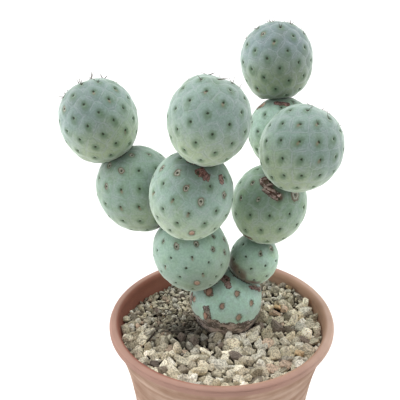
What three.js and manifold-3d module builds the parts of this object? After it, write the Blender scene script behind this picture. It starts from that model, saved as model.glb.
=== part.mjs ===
// Potted tephrocactus geometricus: round stem segments stacked in two branches, rooted in
// mineral grit in a round clay pot with a rolled rim.
// Millimetres, +Z up. The origin is the centre of the pot's flat base.
// -Y is the front, the side on which the plant shows best, and +X is to its right.

import * as THREE from "three";
import { ConvexHull } from "three/addons/math/ConvexHull.js";
import { mergeVertices } from "three/addons/utils/BufferGeometryUtils.js";
import Module from "manifold-3d";

const wasm = await Module();
wasm.setup();

// Pot: a thrown clay pot, 120 mm across its rolled rim.
const POT_HEIGHT = 110;
const RIM_RADIUS = 60;
const RIM_HEIGHT = 4.5;
const MOUTH_RADIUS = 55;
// The rolled rim's section, from its outer foot to its inner one: in from the rim's radius,
// and up from its underside.
const RIM_SECTION = [[0.4, 0.3], [0, 1.6], [0.3, 3.1], [1.2, 4.2], [3.4, 4.5], [5.2, 2.6]];
const SHOULDER_RADIUS = 59;
const TAPER_RADIUS = 50;
const FLARE = 9;
const FLARE_REACH = 20;
const WALL = 3.2;
const FLOOR = 5;
const BASE_CHAMFER = 1.5;
const POT_SIDES = 48;
const WALL_STEPS = 5;
const WALL_CROWDING = 1.7;
const DRAIN_COUNT = 3;
const DRAIN_RADIUS = 4;
const DRAIN_CIRCLE = 20;

// Grit: pumice stones over the potting mix that fills the pot.
const GRIT_LEVEL = 99;
const STONE_SPACING = 11.4;
const STONE_TURN = 137.5;
const STONE_JITTER = 2.2;
const STONE_SHOULDER = 0.64;
const STONE_EDGE = 0.3;
const STONE_HIGH = 2.6;
const STONE_LOW = 0.6;
const STONE_SLOPE = 0.28;
const STONE_VALLEY = 1.4;

// Where the grit lies in a heap against the wall.
const GRIT_HEAPS = [
  { x: 41, y: 35, reach: 20, rise: 5.5 },
  { x: -50, y: 10, reach: 13, rise: 2.2 },
];
const GRIT_TOP = 107.5;

// Stem segments: ovoids longer than wide, wider towards the tip. A segment's radius is half
// the spacing of its joints, and its skin is slimmer than that across its axis.
const LENGTHENING = 1.03;
const SLIMNESS = 0.94;
const TIP_WIDENING = 0.03;
const SEAT = 1.5;
const TOUCH_GAP = 0.3;
const SHOULDER_AT = 0.52;
const TUBERCLE_RISE = 0.45;
const AREOLE_SINK = 0.35;
const NET_SINK = 0.4;

// The skin's relief is worn low on an old segment and full on a young one.
const RELIEF = { old: 0.6, grown: 0.8, young: 1 };

// Spines: short, and only in the areoles nearest the tips of the young segments.
const TIP_SPINES = 12;
const SPINE_SHORT = 2.6;
const SPINE_LONG = 3.9;
const SPINE_RADIUS = 0.28;
const SPINE_ROOT = 1.0;
const SPINE_LEAN = 0.3;
const SPINE_SPREAD = 0.25;

const HOLE_CLEARANCE = 0.5;
const RANDOM_SEED = 41;

// Each segment grows from another one: bearing (degrees from +X towards +Y) and rise (degrees
// above level) lead from that one's centre to its own. The tip's bearing and rise give the
// direction it grows in. Its areoles wind round that axis from the tip to the base, each a
// fixed turn on from the last: most by the golden angle, some by the rarer 99.5 degrees.
const ROOT_SEGMENT = { x: 3, y: 15.4, height: GRIT_LEVEL + 9.7 };
const SEGMENTS = [
  { name: "segment_base", radius: 20.2, tip: [46, 75],
    areoles: 45, spiral: -1, turn: 137.89, phase: 34, age: "old" },
  { name: "segment_left_1", from: "segment_base", bearing: -173, rise: 61, radius: 21.1,
    tip: [179, 67], areoles: 80, spiral: -1, turn: 136.98, phase: 333, age: "old" },
  { name: "segment_left_2", from: "segment_left_1", bearing: -89, rise: 75, radius: 22.1,
    tip: [19, 77], areoles: 72, spiral: -1, turn: 99.32, phase: 333, age: "grown" },
  { name: "segment_left_3", from: "segment_left_2", bearing: -4, rise: 78, radius: 21.6,
    tip: [51, 73], areoles: 63, spiral: -1, turn: 137.58, phase: 3, age: "young" },
  { name: "segment_side_1", from: "segment_left_1", bearing: 146, rise: 39, radius: 23,
    seat: 0.2, tip: [160, 54], areoles: 69, spiral: -1, turn: 99.56, phase: 20, age: "grown" },
  { name: "segment_side_2", from: "segment_side_1", bearing: 162, rise: 61, radius: 21.4,
    tip: [134, 55], areoles: 74, spiral: 1, turn: 99.62, phase: 321, age: "young" },
  { name: "segment_right_1", from: "segment_base", bearing: 19.5, rise: 58.8, radius: 13.5,
    seat: 3.6, tip: [59, 60], areoles: 40, spiral: 1, turn: 137.5, phase: 20, age: "old" },
  { name: "segment_right_2", from: "segment_right_1", bearing: 26, rise: 76, radius: 21,
    tip: [34, 68], areoles: 59, spiral: 1, turn: 138.07, phase: 176, age: "grown" },
  { name: "segment_back_1", from: "segment_right_2", bearing: 74, rise: 47, radius: 18.9,
    seat: 0, tip: [90, 60], areoles: 56, spiral: 1, turn: 137.5, phase: 60, age: "grown" },
  { name: "segment_front", from: "segment_right_2", bearing: -35, rise: 65, radius: 21.3,
    seat: 0.8, tip: [26, 56], areoles: 71, spiral: 1, turn: 99.49, phase: 78, age: "young" },
  { name: "segment_back_2", from: "segment_back_1", bearing: 102, rise: 68, radius: 19.8,
    seat: 0.3, tip: [93, 51], areoles: 63, spiral: 1, turn: 137.48, phase: 293, age: "young" },
];

// Segments of different branches that press on each other.
const PRESSED = [
  ["segment_left_2", "segment_side_1"],
  ["segment_back_1", "segment_front"],
];

const potClay = new THREE.MeshStandardMaterial({ color: 0xb98674, roughness: 0.85, metalness: 0 });
const gritStone = new THREE.MeshStandardMaterial({ color: 0xb5a992, roughness: 0.95, metalness: 0 });
const oldStem = new THREE.MeshStandardMaterial({ color: 0x86b3a0, roughness: 0.6, metalness: 0 });
const youngStem = new THREE.MeshStandardMaterial({ color: 0x9ab8aa, roughness: 0.6, metalness: 0 });

// A repeatable random number from 0 to 1.
function randomFrom(seed) {
  let state = seed;
  return () => {
    state = (state * 1664525 + 1013904223) % 4294967296;
    return state / 4294967296;
  };
}

function directionOf([bearing, rise]) {
  const b = THREE.MathUtils.degToRad(bearing);
  const r = THREE.MathUtils.degToRad(rise);
  return new THREE.Vector3(Math.cos(r) * Math.cos(b), Math.cos(r) * Math.sin(b), Math.sin(r));
}

function solidOf(geometry) {
  const bare = geometry.clone();
  bare.deleteAttribute("normal");
  bare.deleteAttribute("uv");
  const merged = mergeVertices(bare, 1e-4);
  const triVerts = new Uint32Array(merged.index.array);
  const vertProperties = merged.attributes.position.array;
  return new wasm.Manifold(new wasm.Mesh({ numProp: 3, vertProperties, triVerts }));
}

function geometryOf(solid) {
  const { vertProperties, triVerts } = solid.getMesh();
  return indexedGeometry(vertProperties, triVerts);
}

function indexedGeometry(positions, triangles) {
  const geometry = new THREE.BufferGeometry();
  const place = new THREE.BufferAttribute(new Float32Array(positions), 3);
  geometry.setAttribute("position", place);
  geometry.setIndex(new THREE.BufferAttribute(new Uint32Array(triangles), 1));
  geometry.computeVertexNormals();
  return geometry;
}

function namedMesh(name, geometry, material) {
  const mesh = new THREE.Mesh(geometry, material);
  mesh.name = name;
  return mesh;
}

// A turned solid about the Z axis from [radius, height] pairs that start and end on the axis.
function turned(profile) {
  const points = profile.map(([radius, height]) => new THREE.Vector2(radius, height));
  return new THREE.LatheGeometry(points, POT_SIDES).rotateX(Math.PI / 2);
}

// The pot's outer radius below the rim: a straight taper that flares out just under the rim.
function bodyRadius(height) {
  const drop = POT_HEIGHT - RIM_HEIGHT - height;
  const straight = THREE.MathUtils.lerp(SHOULDER_RADIUS, TAPER_RADIUS, drop / POT_HEIGHT);
  return straight - FLARE * (1 - Math.exp(-drop / FLARE_REACH));
}

function innerRadius(height) {
  return Math.min(bodyRadius(height) - WALL, MOUTH_RADIUS - 0.4);
}

// Heights up the wall from a low one to the rim's underside, closer together near the rim.
function wallHeights(low) {
  const high = POT_HEIGHT - RIM_HEIGHT;
  return Array.from({ length: WALL_STEPS + 1 }, (_, i) => {
    const drop = (1 - i / WALL_STEPS) ** WALL_CROWDING;
    return high - (high - low) * drop;
  });
}

function makePot() {
  const underRim = POT_HEIGHT - RIM_HEIGHT;
  const outside = wallHeights(BASE_CHAMFER).map((z) => [bodyRadius(z), z]);
  const rim = RIM_SECTION.map(([inward, up]) => [RIM_RADIUS - inward, underRim + up]);
  const inside = wallHeights(FLOOR).map((z) => [innerRadius(z), z]).reverse();
  const foot = bodyRadius(0) - BASE_CHAMFER;
  const clay = solidOf(turned([[0, 0], [foot, 0], ...outside, ...rim, ...inside, [0, FLOOR]]));
  const drained = Array.from({ length: DRAIN_COUNT }, (_, i) => (i * 2 * Math.PI) / DRAIN_COUNT)
    .map((turn) => new THREE.CylinderGeometry(DRAIN_RADIUS, DRAIN_RADIUS, 3 * FLOOR, 12)
      .rotateX(Math.PI / 2)
      .translate(DRAIN_CIRCLE * Math.sin(turn), -DRAIN_CIRCLE * Math.cos(turn), 0))
    .reduce((rest, drill) => rest.subtract(solidOf(drill)), clay);
  return namedMesh("pot", geometryOf(drained), potClay);
}

// Groups the corners of a triangulation round each point, in turning order.
function cornersRound(points, triangles, normals) {
  const rings = points.map(() => []);
  triangles.forEach((triangle, t) => triangle.forEach((p) => rings[p].push(t)));
  return rings.map((ring, p) => {
    const along = normals[p];
    const side = new THREE.Vector3(1, 0, 0).cross(along);
    if (side.lengthSq() < 0.1) side.set(0, 1, 0).cross(along);
    side.normalize();
    const up = along.clone().cross(side);
    const middle = (t) => triangles[t]
      .reduce((sum, q) => sum.add(points[q]), new THREE.Vector3())
      .divideScalar(3)
      .sub(points[p]);
    const angle = (t) => Math.atan2(middle(t).dot(up), middle(t).dot(side));
    return ring.sort((a, b) => angle(a) - angle(b));
  });
}

function hullTriangles(points, keep) {
  const indexOf = new Map(points.map((point, i) => [point, i]));
  const hull = new ConvexHull().setFromPoints(points);
  return hull.faces.filter(keep).map((face) => {
    const corners = [face.edge, face.edge.next, face.edge.prev];
    return { normal: face.normal, corners: corners.map((edge) => indexOf.get(edge.head().point)) };
  });
}

// Triangles of one cell: a fan from its middle to its shoulder, and a band to its corners.
function cellTriangles(middle, shoulder, corner) {
  const triangles = [];
  shoulder.forEach((ring, i) => {
    const next = (i + 1) % shoulder.length;
    triangles.push(middle, ring, shoulder[next]);
    triangles.push(ring, corner[i], corner[next]);
    triangles.push(ring, corner[next], shoulder[next]);
  });
  return triangles;
}

function gritLevel(x, y) {
  const away = (heap) => ((x - heap.x) ** 2 + (y - heap.y) ** 2) / heap.reach ** 2;
  return GRIT_HEAPS.reduce((sum, heap) => sum + heap.rise * Math.exp(-away(heap)), GRIT_LEVEL);
}

// Stones in the top of the grit, out past the wall at reach: each is the cell round one point
// scattered on a sunflower spiral, with a tilted top, a shoulder and a low valley around it.
function stonyTop(reach, bottom) {
  const random = randomFrom(RANDOM_SEED);
  const either = (most) => (random() * 2 - 1) * most;
  const spiralStep = STONE_SPACING * Math.sqrt(Math.sqrt(3) / (2 * Math.PI));
  const stones = [];
  for (let radius = 0, i = 0; radius < reach + 2 * STONE_SPACING; i += 1) {
    radius = spiralStep * Math.sqrt(i + 0.5);
    const turn = THREE.MathUtils.degToRad(i * STONE_TURN);
    const x = radius * Math.cos(turn) + either(STONE_JITTER);
    const y = radius * Math.sin(turn) + either(STONE_JITTER);
    const stone = new THREE.Vector3(x, y, 0);
    stone.top = THREE.MathUtils.lerp(STONE_LOW, STONE_HIGH, random());
    stone.slope = [either(STONE_SLOPE), either(STONE_SLOPE)];
    stones.push(stone);
  }
  const bowl = stones.map((s) => new THREE.Vector3(s.x, s.y, (s.x ** 2 + s.y ** 2) / reach));
  const faces = hullTriangles(bowl, (face) => face.normal.z < -1e-6);
  const up = stones.map(() => new THREE.Vector3(0, 0, 1));
  const rings = cornersRound(stones, faces.map((face) => face.corners), up);
  const positions = [];
  const triangles = [];
  const addPoint = (x, y, z) => positions.push(x, y, z) / 3 - 1;
  const cornerAt = faces.map(({ normal }) => [
    (-normal.x * reach) / (2 * normal.z),
    (-normal.y * reach) / (2 * normal.z),
  ]);
  const cornerIndex = new Map();
  const cornerOf = (t) => {
    if (!cornerIndex.has(t)) {
      cornerIndex.set(t, addPoint(...cornerAt[t], gritLevel(...cornerAt[t]) - STONE_VALLEY));
    }
    return cornerIndex.get(t);
  };
  stones.forEach((stone, s) => {
    if (Math.hypot(stone.x, stone.y) > reach + STONE_SPACING) return;
    const middle = addPoint(stone.x, stone.y, gritLevel(stone.x, stone.y) + stone.top);
    const shoulder = rings[s].map((t) => {
      const x = THREE.MathUtils.lerp(stone.x, cornerAt[t][0], STONE_SHOULDER);
      const y = THREE.MathUtils.lerp(stone.y, cornerAt[t][1], STONE_SHOULDER);
      const tilt = (x - stone.x) * stone.slope[0] + (y - stone.y) * stone.slope[1];
      return addPoint(x, y, gritLevel(x, y) + stone.top + tilt - STONE_EDGE);
    });
    triangles.push(...cellTriangles(middle, shoulder, rings[s].map(cornerOf)));
  });
  return closedDown(positions, triangles, bottom);
}

// Closes an open sheet with walls down to a flat bottom.
function closedDown(positions, triangles, bottom) {
  const directed = new Set();
  for (let i = 0; i < triangles.length; i += 3) {
    for (let k = 0; k < 3; k += 1) directed.add(`${triangles[i + k]} ${triangles[i + ((k + 1) % 3)]}`);
  }
  const edges = [...directed].map((edge) => edge.split(" ").map(Number));
  const open = edges.filter(([a, b]) => !directed.has(`${b} ${a}`));
  const below = new Map();
  for (const [a] of open) {
    below.set(a, positions.length / 3);
    positions.push(positions[3 * a], positions[3 * a + 1], bottom);
  }
  const hub = positions.length / 3;
  positions.push(0, 0, bottom);
  for (const [a, b] of open) {
    triangles.push(b, a, below.get(a), b, below.get(a), below.get(b), below.get(b), below.get(a), hub);
  }
  return indexedGeometry(positions, triangles);
}

// The potting mix and the grit on it fill the pot up to the stones, with a plain hole that the
// base segment stands in.
function makeGrit(base) {
  const low = FLOOR + TOUCH_GAP;
  const [, ...higher] = wallHeights(FLOOR);
  const side = [low, ...higher, GRIT_TOP].map((z) => [innerRadius(z) - TOUCH_GAP, z]);
  const filled = solidOf(turned([[0, low], ...side, [0, GRIT_TOP]]));
  const stones = solidOf(stonyTop(MOUTH_RADIUS, low - 5));
  const socket = new THREE.SphereGeometry(1, 24, 14).rotateX(Math.PI / 2);
  const place = socket.attributes.position;
  const point = new THREE.Vector3();
  for (let i = 0; i < place.count; i += 1) {
    point.fromBufferAttribute(place, i).normalize();
    point.copy(stemSurface(base, point, TUBERCLE_RISE * base.relief + HOLE_CLEARANCE));
    place.setXYZ(i, point.x, point.y, point.z);
  }
  socket.translate(base.centre.x, base.centre.y, base.centre.z);
  const body = stones.intersect(filled).subtract(solidOf(socket));
  return namedMesh("grit", geometryOf(body), gritStone);
}

// A point of a segment's skin, from its centre: its ovoid, raised or sunk by a height, and
// flat where it meets the segments that it grows from, carries or presses on.
function stemSurface(segment, direction, height) {
  const { radius, axis, flats } = segment;
  const along = direction.dot(axis);
  const across = direction.clone().addScaledVector(axis, -along);
  const point = across
    .multiplyScalar(radius * (SLIMNESS + TIP_WIDENING * along))
    .addScaledVector(axis, along * radius * LENGTHENING)
    .addScaledVector(direction, height);
  for (const { normal, distance } of flats) {
    const beyond = point.dot(normal) - distance;
    if (beyond > 0) point.addScaledVector(normal, -beyond);
  }
  return point;
}

// Areoles wind down from the tip to the base by the same turn each time, equally far apart.
function areoleDirections({ areoles, axis, turn, phase, spiral }) {
  const side = new THREE.Vector3(1, 0, 0).cross(axis).normalize();
  const up = axis.clone().cross(side);
  return Array.from({ length: areoles }, (_, k) => {
    const along = 1 - (2 * (k + 0.5)) / areoles;
    const across = Math.sqrt(1 - along * along);
    const angle = THREE.MathUtils.degToRad(phase + spiral * k * turn);
    return axis.clone().multiplyScalar(along)
      .addScaledVector(side, across * Math.cos(angle))
      .addScaledVector(up, across * Math.sin(angle));
  });
}

// A segment's skin: a low tubercle round each sunken areole, and a net of sunken lines
// halfway between neighbouring areoles.
function tubercledSkin(segment, directions) {
  const faces = hullTriangles(directions, () => true);
  const rings = cornersRound(directions, faces.map((face) => face.corners), directions);
  const positions = [];
  const triangles = [];
  const addPoint = (direction, height) => {
    const point = stemSurface(segment, direction, height * segment.relief);
    return positions.push(point.x, point.y, point.z) / 3 - 1;
  };
  const corner = faces.map(({ normal }) => addPoint(normal.clone().normalize(), -NET_SINK));
  directions.forEach((direction, a) => {
    const middle = addPoint(direction, -AREOLE_SINK);
    const shoulder = rings[a].map((t) => addPoint(
      direction.clone().lerp(faces[t].normal, SHOULDER_AT).normalize(),
      TUBERCLE_RISE,
    ));
    triangles.push(...cellTriangles(middle, shoulder, rings[a].map((t) => corner[t])));
  });
  return solidOf(indexedGeometry(positions, triangles));
}

// A three-sided needle, rooted in the areole and leaning towards the tip.
function spineAt(segment, direction, random) {
  const either = () => (random() * 2 - 1) * SPINE_SPREAD;
  const aim = direction.clone()
    .addScaledVector(segment.axis, SPINE_LEAN)
    .add(new THREE.Vector3(either(), either(), either()))
    .normalize();
  const length = THREE.MathUtils.lerp(SPINE_SHORT, SPINE_LONG, random());
  const needle = new THREE.ConeGeometry(SPINE_RADIUS, length + SPINE_ROOT, 3)
    .translate(0, (length - SPINE_ROOT) / 2, 0)
    .applyQuaternion(new THREE.Quaternion().setFromUnitVectors(new THREE.Vector3(0, 1, 0), aim));
  const root = stemSurface(segment, direction, -AREOLE_SINK);
  return solidOf(needle.translate(root.x, root.y, root.z));
}

function makeSegment(segment, index) {
  const random = randomFrom(RANDOM_SEED + index);
  const directions = areoleDirections(segment);
  let stem = tubercledSkin(segment, directions);
  const spined = segment.age === "young" ? TIP_SPINES : 0;
  for (const direction of directions.slice(0, spined)) {
    stem = stem.add(spineAt(segment, direction, random));
  }
  return namedMesh(segment.name, geometryOf(stem), segment.age === "old" ? oldStem : youngStem);
}

// Works out each segment's centre from the segment it grows from, and where it is flat.
function settledSegments() {
  const byName = new Map();
  for (const given of SEGMENTS) {
    const parent = byName.get(given.from);
    const offset = parent
      ? directionOf([given.bearing, given.rise])
        .multiplyScalar(parent.radius + given.radius - (given.seat ?? SEAT))
      : new THREE.Vector3(ROOT_SEGMENT.x, ROOT_SEGMENT.y, ROOT_SEGMENT.height);
    byName.set(given.name, {
      ...given,
      relief: RELIEF[given.age],
      offset,
      centre: parent ? parent.centre.clone().add(offset) : offset.clone(),
      axis: directionOf(given.tip),
      flats: [],
    });
  }
  const joints = SEGMENTS.filter(({ from }) => from).map(({ name, from }) => [name, from]);
  for (const [first, second] of [...joints, ...PRESSED]) {
    flattenBetween(byName.get(first), byName.get(second));
  }
  return [...byName.values()];
}

function flattenBetween(a, b) {
  const apart = b.centre.clone().sub(a.centre);
  const length = apart.length();
  const fromA = (length ** 2 + a.radius ** 2 - b.radius ** 2) / (2 * length);
  const normal = apart.clone().divideScalar(length);
  a.flats.push({ normal, distance: fromA - TOUCH_GAP / 2 });
  b.flats.push({ normal: normal.clone().negate(), distance: length - fromA - TOUCH_GAP / 2 });
}

const segments = settledSegments();
const plant = new THREE.Group();
plant.add(makePot(), makeGrit(segments[0]));

// Each segment's group hangs in the group of the segment it grows from.
const groups = new Map();
segments.forEach((segment, index) => {
  const group = new THREE.Group();
  group.position.copy(segment.offset);
  group.add(makeSegment(segment, index));
  groups.set(segment.name, group);
  (groups.get(segment.from) ?? plant).add(group);
});

export default plant;
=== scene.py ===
"""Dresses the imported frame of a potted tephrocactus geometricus: its skin with areoles, net
and corky scars, its spines, the pumice grit and the clay pot.

Metres, +Z up. The tables and settings of sizes are in millimetres, fitted to the photograph.
"""

import math
from types import SimpleNamespace

import bpy
import numpy as np
from bpy.props import FloatProperty, FloatVectorProperty, IntProperty, PointerProperty
from mathutils import Euler, Matrix, Vector, noise


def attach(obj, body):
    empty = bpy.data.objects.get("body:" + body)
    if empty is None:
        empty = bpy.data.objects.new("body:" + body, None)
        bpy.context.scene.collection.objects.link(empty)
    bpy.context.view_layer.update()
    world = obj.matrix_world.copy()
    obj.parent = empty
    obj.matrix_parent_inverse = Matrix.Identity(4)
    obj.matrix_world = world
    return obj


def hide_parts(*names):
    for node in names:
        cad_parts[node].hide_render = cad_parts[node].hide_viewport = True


bl_info = {
    "name": "Potted tephrocactus geometricus",
    "version": (1, 0, 0),
    "blender": (4, 5, 0),
    "location": "3D View > Sidebar > Cactus",
    "description": "Models the skin, spines, grit and clay pot of a tephrocactus geometricus",
    "category": "Object",
}

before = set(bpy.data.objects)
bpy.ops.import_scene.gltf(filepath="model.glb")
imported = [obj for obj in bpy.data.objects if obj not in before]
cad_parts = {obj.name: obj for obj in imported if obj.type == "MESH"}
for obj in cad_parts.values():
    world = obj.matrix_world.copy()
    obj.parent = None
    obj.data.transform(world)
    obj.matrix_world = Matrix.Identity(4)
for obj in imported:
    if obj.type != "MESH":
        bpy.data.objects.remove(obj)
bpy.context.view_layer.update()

MM = 0.001
RANDOM_SEED = 41

# The pot's section and the level of the grit, as in the frame.
POT_HEIGHT = 110
RIM_RADIUS = 60
RIM_HEIGHT = 4.5
MOUTH_RADIUS = 55
RIM_SECTION = ((0.7, 0.2), (0.15, 0.6), (0, 1.5), (0.05, 2.6), (0.45, 3.1), (0.4, 3.5), (0.9, 4.1),
               (2, 4.45), (3.4, 4.5), (4.5, 3.9), (5.2, 2.6))
SHOULDER_RADIUS = 59
TAPER_RADIUS = 50
FLARE = 9
FLARE_REACH = 20
WALL = 3.2
FLOOR = 5
BASE_CHAMFER = 1.5
DRAIN_COUNT = 3
DRAIN_RADIUS = 4
DRAIN_CIRCLE = 20
GRIT_LEVEL = 99

# Where the grit lies in a heap, mostly against the wall: place, reach and height in mm.
HEAPS = ((41, 35, 20, 5.5), (-50, 10, 13, 2.2), (54, -4, 17, 2.0), (-22, 4, 10, 1.2))
# How far the potting mix lies under the grit's level, and the steps of its mesh.
MIX_DEPTH = 2.4
MIX_STEPS = dict(up=24, across=46, round=120)

# The two layers of stones: how close they lie, from 1 for stones that hardly touch, how far
# their middles lie over the grit's level, and the darkest and lightest shade of a stone, darker
# in the lower layer as painted shade.
LOWER_WIDTHS = (1.8, 3.4)
LOWER_LAYER = dict(crowding=0.85, lift=-1.3, shades=(0.4, 0.75))
UPPER_LAYER = dict(crowding=0.82, lift=0.1, shades=(0.7, 1.3))
# Stones narrower than this have the plainer shapes.
PLAIN_WIDTH = 2.8

# Stones that stand out, raised a little: place x and y, width in mm, tone from 0 to 1 along
# the stones' row of colours, and how light, from 0 for dark to 1 and more for white.
KNOWN_LIFT = 0.6
KNOWN_STONES = (
    (40.8, -20.2, 4.6, 0.99, 0.95), (-39.8, -18.2, 3.8, 0.9, 1.7), (-50.0, -15.9, 3.2, 0.97, 0.3),
    (-34.8, -27.6, 4.4, 0.97, 0.35), (30.0, 15.0, 5.4, 0.78, 1.0), (31.5, 2.0, 7.0, 0.97, 0.85),
    (38.0, 0.5, 6.0, 0.85, 0.5), (14.0, -11.5, 6.4, 0.7, 0.95), (-5.0, -24.0, 6.0, 0.7, 0.9),
    (9.0, -34.0, 6.2, 0.2, 0.95), (-14.5, -9.0, 5.4, 0.97, 0.45), (-22.0, -5.5, 5.0, 0.97, 0.45),
)

# Stalks and splinters that stand out: the middle's x and y, heading in degrees, length in mm,
# width in tenths of a mm, and tone from 0 for dark to 1 for straw. They lie over the others.
STALKS = (
    (-38.7, -2.7, 36, 7.0, 20, 1.0), (-37.7, -7.2, 67, 10.1, 15, 0.0), (-39.4, -4.8, 43, 4.4, 14, 0.9),
    (-30.0, 2.0, 20, 12, 8, 0.3), (-22.0, -4.0, -15, 9, 7, 0.1), (-38.0, 12.0, 35, 11, 7, 0.6),
)
STALK_LIFT = 3.2

# The litter of smaller stalks left of the plant: its middle and spread, the mean heading and
# its spread, the range of the rest, and how far the stalks keep from the middle of the base
# segment and lie from the pot's.
LITTER = dict(middle=(-27, 8), spread=(9, 10), heading=(20, 30), length=(4, 11), width=(3, 7),
              tone=(0, 0.5), lift=(1.8, 2.8))
LITTER_FROM_BASE = 20
LITTER_REACH = 48

# The stem segments, as in the frame: bearing (degrees from +X towards +Y) and rise (degrees
# above level) lead from the centre of the segment it grows from to its own, and the tip's to
# its tip. Its areoles wind from the tip to the base, each a fixed turn on from the last.
# Areoles, counted from the tip: rings are those with a brown ring grown round them, eyes those
# gone corky all over, both with their radius in mm, and flecks those with rusty bristles.
# Shade and green give a segment's tone, its shade partly its own and partly painted light and
# shade, and plump is how much fuller it is than in the frame, in mm. Sides are where painted
# light makes the skin paler, or painted shade makes it darker if below 0: bearing, rise, share.
# A segment is a ball that is slimmer across, longer along its axis and wider towards its tip.
# It sits a little way into the one it grows from, and where they meet there is a fine gap.
SLIMNESS = 0.94
LENGTHENING = 1.03
TIP_WIDENING = 0.03
SEAT = 1.5
TOUCH_GAP = 0.3
ROOT_SEGMENT = (3, 15.4, GRIT_LEVEL + 9.7)
SEGMENTS = (
    dict(name="segment_base", radius=20.2, tip=(46, 75), areoles=45, spiral=-1, turn=137.89,
         phase=34, age="old", shade=1.62, green=-0.12,
         sides=((-159, 24, -0.1),),
         eyes={16: 1.4, 8: 1.4, 21: 1.5, 13: 1.3, 19: 1.3, 11: 1.7, 5: 1.4, 24: 1.7}),
    dict(name="segment_left_1", grown_from="segment_base", bearing=-173, rise=61, radius=21.1,
         tip=(179, 67), areoles=80, spiral=-1, turn=136.98, phase=333, age="old", shade=1.12,
         green=0.2, sides=((-65, 45, 0.25), (-70, -27, -0.3)),
         rings={13: 1.4, 23: 1.0, 18: 1.2, 31: 1.1, 44: 1.1, 36: 1.1, 8: 1.0},
         eyes={55: 1.7}, flecks=(26, 47, 29)),
    dict(name="segment_left_2", grown_from="segment_left_1", bearing=-89, rise=75, radius=22.1,
         plump=0.4, tip=(19, 77), areoles=72, spiral=-1, turn=99.32, phase=333, age="grown", shade=0.98,
         green=0.2, sides=((-85, 50, -0.33), (-21, 20, 0.15)),
         rings={11: 1.5, 18: 1.3, 25: 1.5, 21: 1.2, 15: 1.3}, eyes={54: 1.5}, flecks=(29, 36, 33)),
    dict(name="segment_left_3", grown_from="segment_left_2", bearing=-4, rise=78, radius=21.6,
         tip=(51, 73), areoles=63, spiral=-1, turn=137.58, phase=3, age="young", shade=0.81,
         green=0.1, sides=((-135, -31, 0.15), (-3, 37, -0.22), (-42, -20, -0.2)), flecks=(8, 13)),
    dict(name="segment_side_1", grown_from="segment_left_1", bearing=146, rise=39, radius=23,
         seat=0.2, tip=(160, 54), areoles=69, spiral=-1, turn=99.56, phase=20, age="grown",
         shade=0.9, green=0.4, sides=((-12, 25, -0.4), (-80, -27, -0.1)),
         rings={4: 1.4, 11: 1.5, 7: 1.3, 15: 1.2, 14: 1.0}, flecks=(22, 40, 33)),
    dict(name="segment_side_2", grown_from="segment_side_1", bearing=162, rise=61, radius=21.4,
         plump=0.2, tip=(134, 55), areoles=74, spiral=1, turn=99.62, phase=321, age="young", shade=0.76,
         green=-0.1, sides=((-25, 4, 0.35), (-129, -15, 0.2), (-150, 50, -0.25), (-85, 15, -0.14)),
         rings={18: 1.2}, flecks=(26, 15, 19, 55)),
    dict(name="segment_right_1", grown_from="segment_base", bearing=19.5, rise=58.8, radius=13.5,
         seat=3.6, plump=0.4, tip=(59, 60), areoles=40, spiral=1, turn=137.5, phase=20, age="old",
         shade=1.36, green=0.22, sides=((-165, 31, -0.62), (-121, -13, -0.3), (-40, 10, 0.1)),
         rings={13: 1.0, 8: 1.2}),
    dict(name="segment_right_2", grown_from="segment_right_1", bearing=26, rise=76, radius=21,
         tip=(34, 68), areoles=59, spiral=1, turn=138.07, phase=176, age="grown", shade=0.94,
         green=0.65, sides=((-165, 0, 0.4), (-120, 30, -0.3)), rings={14: 1.0, 22: 1.1, 27: 1.0, 12: 2.6}),
    dict(name="segment_back_1", grown_from="segment_right_2", bearing=74, rise=47, radius=18.9,
         seat=0, tip=(90, 60), areoles=56, spiral=1, turn=137.5, phase=60, age="grown",
         shade=1.25, green=0.25, sides=((-80, -20, 0.3),), eyes={7: 1.8}),
    dict(name="segment_front", grown_from="segment_right_2", bearing=-35, rise=65, radius=21.3,
         seat=0.8, plump=0.8, tip=(26, 56), areoles=71, spiral=1, turn=99.49, phase=78, age="young",
         shade=0.82, green=0.1, sides=((-158, 5, 0.45), (-25, 5, -0.25), (-95, 15, -0.1)),
         flecks=(28, 10, 17, 32, 21)),
    dict(name="segment_back_2", grown_from="segment_back_1", bearing=102, rise=68, radius=19.8,
         seat=0.3, plump=0.6, tip=(93, 51), areoles=63, spiral=1, turn=137.48, phase=293, age="young",
         shade=0.6, green=-0.6, sides=((-140, -12, 0.4), (-7, 31, -0.25), (-100, 70, -0.15)),
         rings={16: 1.1}, flecks=(24, 55)),
)
PRESSED = (("segment_left_2", "segment_side_1"), ("segment_back_1", "segment_front"))

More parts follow.
